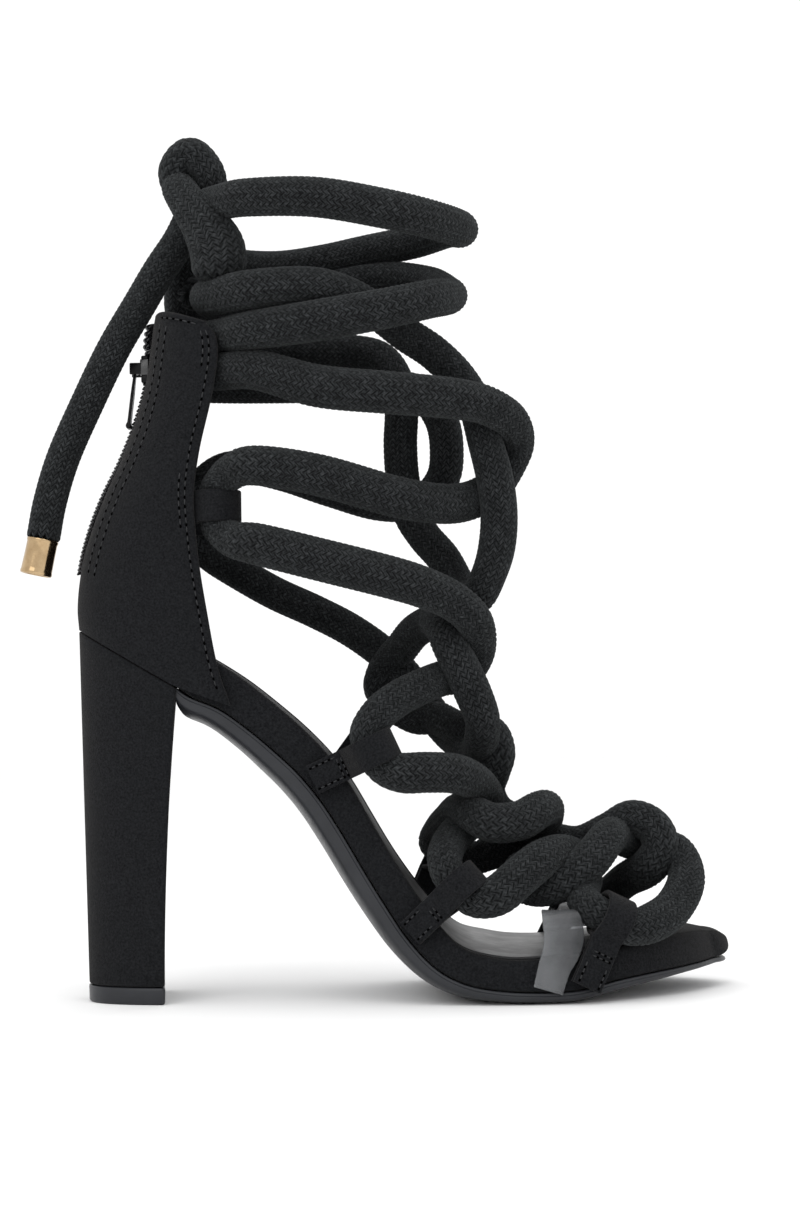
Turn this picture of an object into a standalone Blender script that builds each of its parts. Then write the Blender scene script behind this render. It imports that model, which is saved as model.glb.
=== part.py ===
# Rope lace-up sandal with a block heel, right shoe
# X runs towards the toe, Y towards the inner side of the foot, Z up, from the centre of the heel's foot
import math

import bmesh
import bpy
from mathutils import Vector

MM = 0.001
GAP = 0.3

HEEL_BACK_AT_FLOOR = -12.5
HEEL_BREAST_AT_FLOOR = 12.0
HEEL_BACK_AT_SEAT = -14.6
HEEL_BREAST_AT_SEAT = 16.8
HEEL_BREAST_SKEW = 4.4
HEEL_HALF_WIDTH_AT_FLOOR = 20.5
HEEL_HALF_WIDTH_AT_SEAT = 25.2
HEEL_ROUND_LENGTH = 47.6
HEEL_ROUNDNESS = 0.75
HEEL_LIFT_HEIGHT = 5.0
SEAT_BACK_HEIGHT = 112.0
SEAT_SLOPE = 0.588

INSOLE_THICKNESS = 1.1
INSOLE_INSET = 3.0
COUNTER_WALL = 2.0
ZIP_SLIT_HALF_WIDTH = 3.4
ZIP_BOTTOM = 128.0
TAB_THICKNESS = 1.4
TAB_LOOP_RADIUS = 6.0
TAB_LOOP_SLACK = 1.0
STRAP_THICKNESS = 1.0
ROPE_RADIUS = 5.2
ROPE_SIDES = 8
ROPE_STEP = 7.7
FREE_END_RADIUS = 4.9
TIP_RADIUS = 4.7
TIP_LENGTH = 11.0
PULL_HINGE = (2.9, 0.0, 191.5)

# Stations along the platform's top edge: place, lean of the section, thickness of platform and outsole,
# and the half-widths to the near (outer) and far (inner) edge
SOLE_STATIONS = [
    {"x": -12.2, "z": 124.2, "lean": 0, "platform": 13.7, "outsole": 0.0, "near": 3.5, "far": 3.5},
    {"x": -11.0, "z": 123.5, "lean": 0, "platform": 13.7, "outsole": 0.0, "near": 7.8, "far": 7.8},
    {"x": -8.0, "z": 121.7, "lean": 0, "platform": 13.7, "outsole": 0.0, "near": 13.0, "far": 13.0},
    {"x": -2.0, "z": 118.2, "lean": 0, "platform": 13.7, "outsole": 0.0, "near": 17.2, "far": 17.2},
    {"x": 6.0, "z": 113.5, "lean": 0, "platform": 13.7, "outsole": 0.0, "near": 20.7, "far": 20.7},
    {"x": 14.0, "z": 109.0, "lean": -3, "platform": 13.7, "outsole": 0.0, "near": 22.0, "far": 22.0},
    {"x": 21.8, "z": 104.6, "lean": -15, "platform": 13.0, "outsole": 4.0, "near": 22.6, "far": 22.6},
    {"x": 28.4, "z": 100.7, "lean": -28, "platform": 12.7, "outsole": 4.4, "near": 22.7, "far": 22.7},
    {"x": 36.2, "z": 95.4, "lean": -36, "platform": 11.2, "outsole": 4.7, "near": 22.4, "far": 22.4},
    {"x": 45.1, "z": 88.2, "lean": -41, "platform": 10.7, "outsole": 5.0, "near": 22.2, "far": 22.2},
    {"x": 53.1, "z": 81.1, "lean": -46, "platform": 10.6, "outsole": 5.4, "near": 22.2, "far": 22.2},
    {"x": 60.6, "z": 73.2, "lean": -52, "platform": 10.2, "outsole": 5.7, "near": 22.5, "far": 22.5},
    {"x": 66.9, "z": 64.7, "lean": -58, "platform": 9.8, "outsole": 5.8, "near": 23.0, "far": 23.2},
    {"x": 72.9, "z": 54.2, "lean": -60, "platform": 9.2, "outsole": 5.8, "near": 24.0, "far": 24.6},
    {"x": 78.9, "z": 43.6, "lean": -60, "platform": 9.1, "outsole": 5.7, "near": 25.4, "far": 26.6},
    {"x": 84.9, "z": 34.1, "lean": -57, "platform": 9.3, "outsole": 5.5, "near": 27.2, "far": 29.2},
    {"x": 91.1, "z": 25.3, "lean": -52, "platform": 9.6, "outsole": 5.1, "near": 29.2, "far": 32.2},
    {"x": 97.4, "z": 18.1, "lean": -42, "platform": 9.4, "outsole": 4.4, "near": 31.2, "far": 35.2},
    {"x": 103.8, "z": 14.6, "lean": -25, "platform": 9.2, "outsole": 3.7, "near": 32.6, "far": 37.6},
    {"x": 112.0, "z": 13.0, "lean": -8, "platform": 8.9, "outsole": 3.1, "near": 33.8, "far": 39.8},
    {"x": 121.0, "z": 13.0, "lean": 2, "platform": 9.3, "outsole": 2.9, "near": 34.2, "far": 41.2},
    {"x": 131.0, "z": 13.7, "lean": 5, "platform": 9.8, "outsole": 2.9, "near": 33.0, "far": 41.4},
    {"x": 142.0, "z": 15.1, "lean": 8, "platform": 9.0, "outsole": 2.9, "near": 29.4, "far": 40.2},
    {"x": 152.0, "z": 16.8, "lean": 10, "platform": 9.4, "outsole": 2.6, "near": 23.8, "far": 37.6},
    {"x": 161.0, "z": 17.7, "lean": 12, "platform": 9.6, "outsole": 2.1, "near": 16.4, "far": 33.6},
    {"x": 169.0, "z": 17.8, "lean": 13, "platform": 9.2, "outsole": 1.8, "near": 7.4, "far": 28.0},
    {"x": 175.0, "z": 17.0, "lean": 12, "platform": 7.9, "outsole": 1.6, "near": -1.0, "far": 22.8},
    {"x": 180.0, "z": 14.8, "lean": 8, "platform": 5.0, "outsole": 1.4, "near": -9.0, "far": 16.4},
]

# Rows of the counter from its lower edge up: the centre back, the front edge on the near side, the half-width
COUNTER_ROWS = [
    {"back": (-14.6, 112.3), "front": (32.4, 87.4), "half_width": 25.4},
    {"back": (-15.0, 117.5), "front": (29.8, 95.0), "half_width": 25.6},
    {"back": (-14.4, 125.0), "front": (27.9, 103.0), "half_width": 26.0},
    {"back": (-12.7, 134.0), "front": (26.1, 114.0), "half_width": 27.0},
    {"back": (-9.5, 143.5), "front": (24.2, 127.0), "half_width": 28.4},
    {"back": (-5.5, 153.0), "front": (23.0, 140.0), "half_width": 29.4},
    {"back": (-0.8, 163.0), "front": (22.7, 150.0), "half_width": 29.4},
    {"back": (4.0, 176.0), "front": (24.5, 163.0), "half_width": 28.6},
    {"back": (6.7, 186.0), "front": (28.0, 178.0), "half_width": 27.8},
    {"back": (8.2, 196.0), "front": (30.0, 190.0), "half_width": 27.4},
    {"back": (9.2, 203.0), "front": (29.4, 197.0), "half_width": 27.0},
    {"back": (9.8, 206.0), "front": (26.5, 200.6), "half_width": 26.6},
]
FAR_FRONT_SETBACK = 10.8

# Loop tabs: centre of the rope in the loop, way to the foot of the tab, turn of the wall it is sewn to,
# length to the foot, length to where the two legs meet, width, and how far outside the centre they meet
TABS = [
    {"name": "tab_near_1", "at": (29.0, -22.8, 146.2), "to": (-1.0, 0.0), "turn": 0,
     "length": 9.0, "meet": 6.8, "width": 9.4, "out": 2.0},
    {"name": "tab_near_2", "at": (74.2, -30.0, 73.3), "to": (-0.912, -0.41), "turn": 2,
     "length": 19.6, "meet": 8.5, "width": 9.0, "out": -4.6},
    {"name": "tab_near_3", "at": (99.0, -31.0, 33.6), "to": (-0.752, -0.658), "turn": 16,
     "length": 19.0, "meet": 8.5, "width": 8.4, "out": 3.8},
    {"name": "tab_near_4", "at": (142.3, -30.4, 23.6), "to": (-0.45, -0.893), "turn": -16,
     "length": 20.6, "meet": 5.8, "width": 9.0, "out": 2.2},
    {"name": "tab_far_1", "at": (18.2, 22.4, 146.2), "to": (-1.0, 0.0), "turn": 0,
     "length": 9.0, "meet": 6.8, "width": 9.4, "out": 1.6},
    {"name": "tab_far_2", "at": (78.2, 29.0, 89.0), "to": (-0.6, -0.8), "turn": 2,
     "length": 28.0, "meet": 18.0, "width": 7.0, "out": -3.4},
    {"name": "tab_far_3", "at": (97.0, 32.0, 40.2), "to": (-0.468, -0.884), "turn": 25,
     "length": 15.2, "meet": 6.6, "width": 8.4, "out": 6.6},
    {"name": "tab_far_4", "at": (136.0, 32.0, 24.4), "to": (-0.45, -0.893), "turn": 0,
     "length": 21.0, "meet": 4.4, "width": 9.0, "out": 11.3},
]

# Clear toe strap: middle line and half-width of the band, from the near side over the toes
STRAP_LINE = [
    {"at": (123.4, -35.1, 4.2), "half": 4.3},
    {"at": (125.5, -35.1, 11.0), "half": 4.7},
    {"at": (127.3, -34.9, 15.0), "half": 5.3},
    {"at": (128.3, -34.3, 18.8), "half": 5.7},
    {"at": (128.2, -33.4, 22.4), "half": 5.7},
    {"at": (127.6, -31.8, 25.2), "half": 5.4},
    {"at": (126.8, -28.6, 26.2), "half": 5.0},
    {"at": (126.0, -24.0, 24.4), "half": 4.2},
    {"at": (130.6, -16.0, 22.8), "half": 4.8},
    {"at": (137.0, -6.0, 25.0), "half": 8.5},
    {"at": (139.0, 4.0, 25.8), "half": 9.0},
    {"at": (138.0, 13.0, 22.8), "half": 8.0},
    {"at": (135.5, 21.0, 18.6), "half": 6.4},
    {"at": (131.2, 27.5, 17.2), "half": 4.4},
    {"at": (129.8, 33.0, 16.4), "half": 4.2},
    {"at": (129.4, 38.0, 16.2), "half": 4.2},
]

# Rope routes: points chosen along each strand, with the rope's fullness there
LACING_NEAR = [
    (16, -12.5, 187.5, 1.05), (30, -18, 187.4, 1.06), (42, -25, 186.4, 1.12), (60, -30.5, 180.5, 1.18),
    (80, -32, 178, 1.18), (98, -27.5, 176.8, 1.15), (109, -21, 175.6, 1.1), (117, -13, 172, 1.05),
    (119.5, -5, 166.5, 1.0), (117, -2.5, 160, 1.0), (112, -4, 153, 1.05), (106, -7, 149, 1.1),
    (99, -13, 147, 1.13), (90, -20, 147, 1.15), (80, -26, 148.6, 1.15), (60, -32, 154, 1.15),
    (42, -33, 157, 1.1), (34.5, -28, 156, 1.0), (29.4, -23.2, 151.5, 0.9),
    (29, -22.8, 146.2, 0.86), (29.4, -23.2, 140.8, 0.9), (34.5, -28, 136, 1.0), (42, -33, 134, 1.15),
    (60, -33, 129.2, 1.18), (80, -30, 124, 1.18), (90, -26, 121, 1.15),
    (99, -20.5, 117, 1.1), (105, -15, 111.5, 1.05), (106.5, -8, 104.5, 1.0), (104, -3.5, 98.5, 1.0),
    (99, -4, 95.5, 1.0), (94.5, -9, 94.5, 1.0), (88.5, -16, 92, 1.0), (82, -22, 88.7, 1.0),
    (76.5, -26.5, 84.5, 1.0), (72.7, -29.3, 79, 0.9), (74.2, -30, 73.3, 0.86), (77.5, -30.6, 68.7, 0.95),
    (83, -31, 67, 1.1),
    (90, -29, 67, 1.12), (98, -24, 66.4, 1.1), (104, -15.5, 63.8, 1.05), (108, -6, 59, 1.0),
    (106.5, 1, 54.5, 1.0), (101, -5, 50, 1.0), (97, -14, 46.5, 1.0), (94.8, -24, 42.3, 0.98),
    (95.5, -29.5, 37.7, 0.9), (99, -31, 33.6, 0.86), (103, -32, 30.2, 0.95),
    (109.5, -32.5, 31.4, 1.1), (116.8, -29, 36.8, 1.1),
    (123, -24, 41, 1.08), (129, -16, 42.5, 1.0), (134, -9, 40.5, 1.0), (136.5, -11, 35, 1.0),
    (135.5, -18, 31.5, 0.95), (135.3, -25, 28.3, 0.9), (138, -29.4, 26.1, 0.88),
    (142.3, -30.4, 23.6, 0.86), (147.4, -30.4, 21.3, 0.95),
    (154.5, -26, 22.2, 1.08), (162, -18, 26, 1.08), (167, -10, 33.5, 1.05), (165.5, -2, 41, 1.0),
    (159, 4, 43, 1.0), (151.5, 3, 44.5, 1.0), (146.5, -4, 47, 1.0), (143, -12, 45.5, 1.05),
    (137.5, -18.5, 40, 1.1), (130, -21, 34.7, 1.1), (123, -17.5, 32, 1.0), (118, -9, 33, 1.0),
    (118.5, 3, 36.5, 1.0), (123, 14, 35.5, 1.0), (127, 23.5, 32, 0.95), (131.2, 30.8, 27.2, 0.88),
    (136, 32, 24.4, 0.86), (141, 31, 23.4, 0.9), (146, 22, 26.6, 0.95), (151, 7, 32.6, 1.0),
    (156.5, -4, 37, 1.08),
]
LACING_FAR = [
    (156.5, -4, 37, 1.08), (160, -6, 43, 1.05), (158, -4.5, 49, 1.05), (152, -2, 51.5, 1.05),
    (145, 0, 48, 1.0), (136, 4, 44, 1.0), (125, 13, 45, 1.0), (110.5, 24, 40.5, 1.0),
    (102, 31.6, 37.2, 0.9), (97, 32, 40.2, 0.86), (92.6, 31, 43.6, 0.9), (94.5, 24, 48.3, 0.95),
    (97.5, 11, 52, 1.0),
    (100, -4, 55, 1.0), (103.5, -15.5, 54.2, 1.05), (109, -21.5, 51.8, 1.1), (117, -20.5, 52.2, 1.1),
    (123, -15, 55, 1.05), (126, -7, 55, 1.0), (125, 2, 50.5, 1.0), (119, 9, 50.5, 1.0),
    (112, 11, 54, 1.0), (109, 8.5, 60.5, 1.0), (110.5, 3, 66.5, 1.0), (112, 0, 72, 1.0),
    (110.5, 2.5, 77.5, 1.0), (106, 7, 79.5, 1.0), (100, 14, 80, 1.0),
    (94, 22, 83, 1.0), (87.5, 26.5, 83.2, 0.95), (82.6, 28.5, 85.6, 0.9), (78.2, 29, 89, 0.86),
    (75.8, 28.3, 94, 0.9), (78.4, 26.5, 100, 1.0), (83, 21.5, 105, 1.0),
    (87.5, 13, 110, 1.0), (93, 3.5, 112.5, 1.0), (95.5, -6, 110.5, 1.0),
    (97.5, -12, 105, 1.0), (100.8, -13.5, 98, 1.05), (104.4, -13, 90, 1.05), (107, -11, 82.5, 1.0),
    (107, -5, 76.5, 1.0), (106, 5, 73.5, 1.0), (102.5, 15, 74.5, 1.0), (98, 23.5, 78, 1.0),
    (92, 26, 85.5, 1.0), (86, 25, 94.5, 1.0),
    (78, 28.5, 103.5, 1.0), (67.5, 31.5, 111.5, 1.0), (56, 32, 117.8, 1.0), (43, 32, 124, 1.0),
    (31, 31, 131, 1.0), (23, 27, 136, 0.95), (18.6, 23.2, 140.8, 0.9), (18.2, 22.8, 146.2, 0.86),
    (18.6, 23.2, 151.5, 0.9), (21, 26, 158.5, 1.0), (27, 29.5, 163.8, 1.0), (35, 32, 164.8, 1.0),
    (47, 32.5, 162, 1.0), (61, 32.5, 157, 1.0), (77, 31, 152, 1.0), (90, 25, 151.8, 1.0),
    (97, 17, 158, 1.0), (98.5, 15, 167, 1.0), (97, 17, 177, 1.0), (91, 22.5, 186, 1.0),
    (80, 28, 190, 1.0), (60, 31, 190.5, 1.0), (34, 23, 189.5, 1.0), (16, 14.5, 188.8, 1.0),
]
ANKLE_RING = [
    (31, 8, 211, 1.0), (26.6, -1, 212, 1.0), (26, -10, 211.6, 1.0), (29.5, -19, 210, 1.05),
    (41, -28, 210, 1.1), (58, -29, 210.3, 1.1), (69, -26, 208, 1.05), (78, -19.5, 204, 1.0), (86, -12, 199, 1.0),
    (94.5, -7, 194, 1.0), (102, -5.5, 186.5, 1.0), (107, -8, 177, 1.0), (109.5, -11.5, 166, 1.0),
    (112, -13.3, 155, 1.05), (113.2, -13, 144, 1.05), (112.4, -12, 134, 1.05), (110, -10.5, 126, 1.0),
    (106.5, -7, 119.5, 1.0), (102.5, 1, 119.5, 1.0), (100, 8, 126, 1.0), (96.5, 12, 133, 1.0),
    (91, 16, 140, 1.0), (86.5, 18.5, 148, 1.0), (84.5, 19.5, 159, 1.0), (84, 20.5, 170, 1.0),
    (84.5, 21, 181, 1.0), (83, 23.5, 191, 1.0), (78, 26.5, 198.5, 1.0), (69, 29, 201.3, 1.0),
    (57, 30, 202, 1.0), (44, 29.5, 202.5, 1.0), (32, 26, 203.5, 1.0), (22, 21.5, 206.5, 1.0),
    (16, 18, 212, 1.0), (15.8, 14, 219.5, 1.0), (16.8, 10, 227, 1.0), (18, 5, 233, 1.0),
]
ANKLE_LOWER_TURN = [
    (22, -15, 197, 1.0), (31, -18.5, 198, 1.0), (41, -27, 198, 1.08), (60, -32, 199.6, 1.15),
    (80, -31, 203, 1.12), (93, -22.5, 207.2, 1.08), (99, -9, 210.8, 1.05), (99.6, 5, 214.5, 1.0),
    (94, 19.5, 221, 1.0), (80, 29, 225, 1.0), (63, 32, 223.5, 1.0), (48, 31.5, 218, 1.0),
    (34, 26, 217, 1.0), (24, 17.5, 218, 1.0), (18.5, 7, 216.5, 1.0),
]
ANKLE_UPPER_TURN = [
    (31, -19, 238.5, 1.0), (40, -28, 237.5, 1.05), (60, -33, 236, 1.1), (80, -31, 232.8, 1.1),
    (95, -20.5, 231.6, 1.08), (103.4, -5, 232.4, 1.05), (100, 12, 236, 1.0), (90, 23.5, 235.5, 1.0),
    (74, 30.5, 234, 1.0), (60, 32, 231.5, 1.0), (46, 31, 229.5, 1.0), (33, 25.5, 229, 1.0),
    (23, 17, 229.5, 1.0), (16, 7, 231, 1.0),
]
KNOT_ARCH = [
    (27.4, -7.5, 243.5, 1.0), (26.2, -9, 250.2, 1.05), (21.4, -9.5, 255.2, 1.08), (17.0, -8, 250.8, 1.05),
    (18.6, -3.5, 244.5, 1.0),
]
KNOT_WRAP = [
    (17.4, -4, 247, 0.95), (18.2, -11, 244.5, 1.0), (22, -16, 237.8, 1.05), (26.8, -18.5, 231, 1.3),
    (30, -19.5, 224.5, 1.5), (30.6, -19.5, 218.4, 1.3),
]
FREE_END = [
    (21.5, -8.5, 237), (17.2, -6.5, 229.5), (11.3, -7, 220.6), (5.3, -7.4, 210.4), (-2.7, -10, 195.9),
    (-10.5, -10, 180), (-17.8, -10, 163.8), (-22, -10, 150.3), (-24.2, -10, 139),
]
TIP_END = (-26.6, -10.0, 127.9)

SUEDE = {"colour": (0.012, 0.012, 0.013), "roughness": 0.95, "metallic": 0.0}
ROPE_COTTON = {"colour": (0.016, 0.017, 0.017), "roughness": 0.95, "metallic": 0.0}
SOLE_RUBBER = {"colour": (0.045, 0.048, 0.055), "roughness": 0.3, "metallic": 0.0}
SOCK_LINING = {"colour": (0.02, 0.02, 0.022), "roughness": 0.15, "metallic": 0.0}
ZIP_NYLON = {"colour": (0.01, 0.01, 0.011), "roughness": 0.4, "metallic": 0.0}
BLACK_METAL = {"colour": (0.02, 0.02, 0.022), "roughness": 0.3, "metallic": 0.8}
CLEAR_VINYL = {"colour": (0.85, 0.87, 0.88), "roughness": 0.08, "metallic": 0.0}
GOLD_METAL = {"colour": (0.83, 0.6, 0.27), "roughness": 0.2, "metallic": 1.0}


def clear_scene():
    for old in list(bpy.data.objects):
        bpy.data.objects.remove(old, do_unlink=True)


def make_material(name, look):
    material = bpy.data.materials.new(name)
    material.use_nodes = True
    shader = material.node_tree.nodes["Principled BSDF"]
    shader.inputs["Base Color"].default_value = (*look["colour"], 1.0)
    shader.inputs["Roughness"].default_value = look["roughness"]
    shader.inputs["Metallic"].default_value = look["metallic"]
    return material


def add_object(name, data, look):
    piece = bpy.data.objects.new(name, data)
    bpy.context.scene.collection.objects.link(piece)
    data.materials.append(make_material(name, look))
    return piece


# A closed solid from rings of equal length, each ring in mm, with its first and last ring filled
def rings_to_mesh(name, rings):
    shape = bmesh.new()
    rows = []
    for ring in rings:
        rows.append([shape.verts.new(Vector(point) * MM) for point in ring])
    count = len(rings[0])
    for lower, upper in zip(rows, rows[1:]):
        for i in range(count):
            j = (i + 1) % count
            shape.faces.new((lower[i], lower[j], upper[j], upper[i]))
    shape.faces.new(rows[0])
    shape.faces.new(rows[-1])
    bmesh.ops.recalc_face_normals(shape, faces=shape.faces)
    mesh = bpy.data.meshes.new(name)
    shape.to_mesh(mesh)
    shape.free()
    return mesh


def smooth_shading(piece, degrees=40):
    piece.data.shade_smooth()
    piece.data.set_sharp_from_angle(angle=math.radians(degrees))


def boolean(piece, other, operation):
    change = piece.modifiers.new(operation.lower() + "_" + other.name, "BOOLEAN")
    change.operation = operation
    change.object = other
    change.solver = "EXACT"
    change.use_self = True
    other.hide_render = True
    other.display_type = "WIRE"
    return change


def box_mesh(name, low, high):
    ring_low = [(low[0], low[1], low[2]), (high[0], low[1], low[2]),
                (high[0], high[1], low[2]), (low[0], high[1], low[2])]
    ring_high = [(x, y, high[2]) for x, y, z in ring_low]
    return rings_to_mesh(name, [ring_low, ring_high])


# A round bar along Y
def bar_mesh(name, centre, radius, half_length, sides=16):
    rings = []
    for y in (-half_length, half_length):
        ring = []
        for i in range(sides):
            turn = 2 * math.pi * i / sides
            x = centre[0] + radius * math.cos(turn)
            z = centre[2] + radius * math.sin(turn)
            ring.append((x, centre[1] + y, z))
        rings.append(ring)
    return rings_to_mesh(name, rings)


def seat_height(x):
    return SEAT_BACK_HEIGHT - SEAT_SLOPE * (x + 15.3)


# A point of a sole section: across is Y, up is along the leaning section from the platform's top edge
def section_point(station, across, up):
    lean = math.radians(station["lean"])
    x = station["x"] - up * math.sin(lean)
    z = station["z"] + up * math.cos(lean)
    return (x, across, z)


def platform_ring(station):
    near, far, thick = -station["near"], station["far"], station["platform"]
    profile = [(near + 0.5, -thick), (near, -thick + 0.6), (near, -1.2), (near + 0.9, -0.1),
               (far - 0.9, -0.1), (far, -1.2), (far, -thick + 0.6), (far - 0.5, -thick)]
    return [section_point(station, across, up) for across, up in profile]


def make_platform():
    mesh = rings_to_mesh("platform", [platform_ring(station) for station in SOLE_STATIONS])
    smooth_shading(add_object("platform", mesh, SUEDE))


def insole_ring(station):
    inset = min(INSOLE_INSET, 0.3 * (station["near"] + station["far"]))
    near, far = -station["near"] + inset, station["far"] - inset
    low, high = -0.1 + GAP, -0.1 + GAP + INSOLE_THICKNESS
    profile = [(near, low), (near, high - 0.7), (near + 0.7, high),
               (far - 0.7, high), (far, high - 0.7), (far, low)]
    return [section_point(station, across, up) for across, up in profile]


def make_insole():
    stations = [dict(station) for station in SOLE_STATIONS[:-3]]
    stations[0]["x"] += 1.4
    mesh = rings_to_mesh("insole", [insole_ring(station) for station in stations])
    smooth_shading(add_object("insole", mesh, SOCK_LINING))


# The outsole's edge stands a little proud; its underside is crowned and flat where it meets the floor
def outsole_ring(station):
    near, far = -station["near"] - 0.5, station["far"] + 0.5
    top = -station["platform"] - GAP
    edge = top - 0.55 * station["outsole"]
    bottom = top - station["outsole"]
    crown = bottom - 1.7
    span = far - near
    profile = [(near + 0.4, top), (near, top - 0.4), (near, edge), (near + 0.07 * span, bottom),
               (near + 0.2 * span, crown + 0.5), (near + 0.36 * span, crown), (far - 0.36 * span, crown),
               (far - 0.2 * span, crown + 0.5), (far - 0.07 * span, bottom), (far, edge),
               (far, top - 0.4), (far - 0.4, top)]
    ring = [section_point(station, across, up) for across, up in profile]
    return [(x, y, max(z, 0.0)) for x, y, z in ring]


def make_outsole():
    stations = [station for station in SOLE_STATIONS if station["outsole"] > 0]
    breast = dict(stations[0])
    breast.update({"x": 20.9, "z": 104.9, "lean": -13})
    mesh = rings_to_mesh("outsole", [outsole_ring(station) for station in [breast] + stations[1:]])
    smooth_shading(add_object("outsole", mesh, SOLE_RUBBER))


# How far a rounded back has come forward, and out to the side, at a turn from the centre back
def round_back(turn):
    angle = math.radians(turn)
    forward = 1 - abs(math.cos(angle)) ** HEEL_ROUNDNESS
    side = math.copysign(abs(math.sin(angle)) ** HEEL_ROUNDNESS, math.sin(angle))
    return forward, side


# The heel's outline in plan: a rounded back and a flat breast with small corners, set back on the inner side
def heel_outline(back, breast, half_width):
    corner = 1.2
    far_breast = breast - HEEL_BREAST_SKEW
    turns = []
    for front in (breast, far_breast):
        end = 1 - (front - corner - back) / HEEL_ROUND_LENGTH
        turns.append(math.degrees(math.acos(end ** (1 / HEEL_ROUNDNESS))))
    outline = []
    for i in range(17):
        share = i / 8 - 1
        forward, side = round_back(share * (turns[0] if share < 0 else turns[1]))
        outline.append((back + HEEL_ROUND_LENGTH * forward, half_width * side))
    near_half, far_half = -outline[0][1] - corner, outline[-1][1] - corner
    outline.append((far_breast, far_half))
    outline.append((breast, -near_half))
    return outline


def heel_ring(share, height):
    back = HEEL_BACK_AT_FLOOR + share * (HEEL_BACK_AT_SEAT - HEEL_BACK_AT_FLOOR)
    breast = HEEL_BREAST_AT_FLOOR + share ** 1.6 * (HEEL_BREAST_AT_SEAT - HEEL_BREAST_AT_FLOOR)
    width = HEEL_HALF_WIDTH_AT_FLOOR + share * (HEEL_HALF_WIDTH_AT_SEAT - HEEL_HALF_WIDTH_AT_FLOOR)
    ring = []
    for x, y in heel_outline(back, breast, width):
        top = seat_height(x) - GAP
        ring.append((x, y, HEEL_LIFT_HEIGHT + GAP + height * (top - HEEL_LIFT_HEIGHT - GAP)))
    return ring


def make_heel():
    shares = [0.0, 0.25, 0.5, 0.75, 0.9, 1.0]
    mesh = rings_to_mesh("heel_block", [heel_ring(share, share) for share in shares])
    smooth_shading(add_object("heel_block", mesh, SUEDE))
    outline = heel_outline(HEEL_BACK_AT_FLOOR, HEEL_BREAST_AT_FLOOR, HEEL_HALF_WIDTH_AT_FLOOR)
    rings = [[(x, y, z) for x, y in outline] for z in (0.0, HEEL_LIFT_HEIGHT)]
    smooth_shading(add_object("heel_lift", rings_to_mesh("heel_lift", rings), SOLE_RUBBER))


# A point of the counter's wall: turn runs from -90 at the near front edge over the back to +90 at the far one
def counter_point(row, turn, inset):
    back_x, back_z = row["back"]
    front_x, front_z = row["front"]
    forward, side = round_back(turn)
    if turn > 0:
        front_z += FAR_FRONT_SETBACK * (back_z - front_z) / (front_x - back_x)
        front_x -= FAR_FRONT_SETBACK
    x = back_x + inset + (front_x - back_x - inset) * forward
    y = (row["half_width"] - inset) * side
    z = back_z + (front_z - back_z) * forward
    return (x, y, z)


# The lower edge follows the heel seat, and in front of the heel the line of the outsole
def lower_edge_point(point):
    x, y, z = point
    breast = HEEL_BREAST_AT_SEAT
    if x < breast:
        return (x, y, seat_height(x))
    return (x, y, seat_height(breast) - 0.37 * (x - breast))


def counter_ring(index, row):
    turns = [-90 + 180 * i / 18 for i in range(19)]
    outer = [counter_point(row, turn, 0.0) for turn in turns]
    inner = [counter_point(row, turn, COUNTER_WALL) for turn in reversed(turns)]
    ring = outer + inner
    if index == 0:
        ring = [lower_edge_point(point) for point in ring]
    return ring


def make_counter():
    rings = [counter_ring(index, row) for index, row in enumerate(COUNTER_ROWS)]
    counter = add_object("counter", rings_to_mesh("counter", rings), SUEDE)
    slit = box_mesh("zip_slit", (-30, -ZIP_SLIT_HALF_WIDTH, ZIP_BOTTOM), (19, ZIP_SLIT_HALF_WIDTH, 230))
    boolean(counter, add_object("zip_slit", slit, SUEDE), "DIFFERENCE")
    smooth_shading(counter)


def back_place(z):
    for low, high in zip(COUNTER_ROWS, COUNTER_ROWS[1:]):
        if low["back"][1] <= z <= high["back"][1]:
            share = (z - low["back"][1]) / (high["back"][1] - low["back"][1])
            return low["back"][0] + share * (high["back"][0] - low["back"][0])
    return COUNTER_ROWS[-1]["back"][0]


# Tape between the counter's edges, with the closed coil as a ridge along its middle
def make_zip_chain():
    tape = ZIP_SLIT_HALF_WIDTH - GAP
    profile = [(-tape, 0.4), (-1.9, 0.4), (-1.5, -0.5), (1.5, -0.5),
               (1.9, 0.4), (tape, 0.4), (tape, 1.6), (-tape, 1.6)]
    rings = []
    for i in range(15):
        z = ZIP_BOTTOM + GAP + (204.5 - ZIP_BOTTOM - GAP) * i / 14
        rings.append([(back_place(z) + depth, y, z) for y, depth in profile])
    add_object("zip_chain", rings_to_mesh("zip_chain", rings), ZIP_NYLON)


# Slider body with two cheeks that carry the pull's pin
def make_zip_slider():
    x, y, z = PULL_HINGE
    plate = box_mesh("zip_slider", (4.7, -3.4, 187.0), (6.0, 3.4, 195.5))
    body = add_object("zip_slider", plate, BLACK_METAL)
    for side in (-1, 1):
        low, high = sorted((side * 2.5, side * 3.3))
        cheek = box_mesh("cheek", (x - 1.0, low, z - 1.0), (5.2, high, z + 1.0))
        boolean(body, add_object(f"cheek_{low:.0f}", cheek, BLACK_METAL), "UNION")
    pin = add_object("pull_pin", bar_mesh("pull_pin", PULL_HINGE, 0.6, 2.9, 10), BLACK_METAL)
    boolean(body, pin, "UNION")


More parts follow.
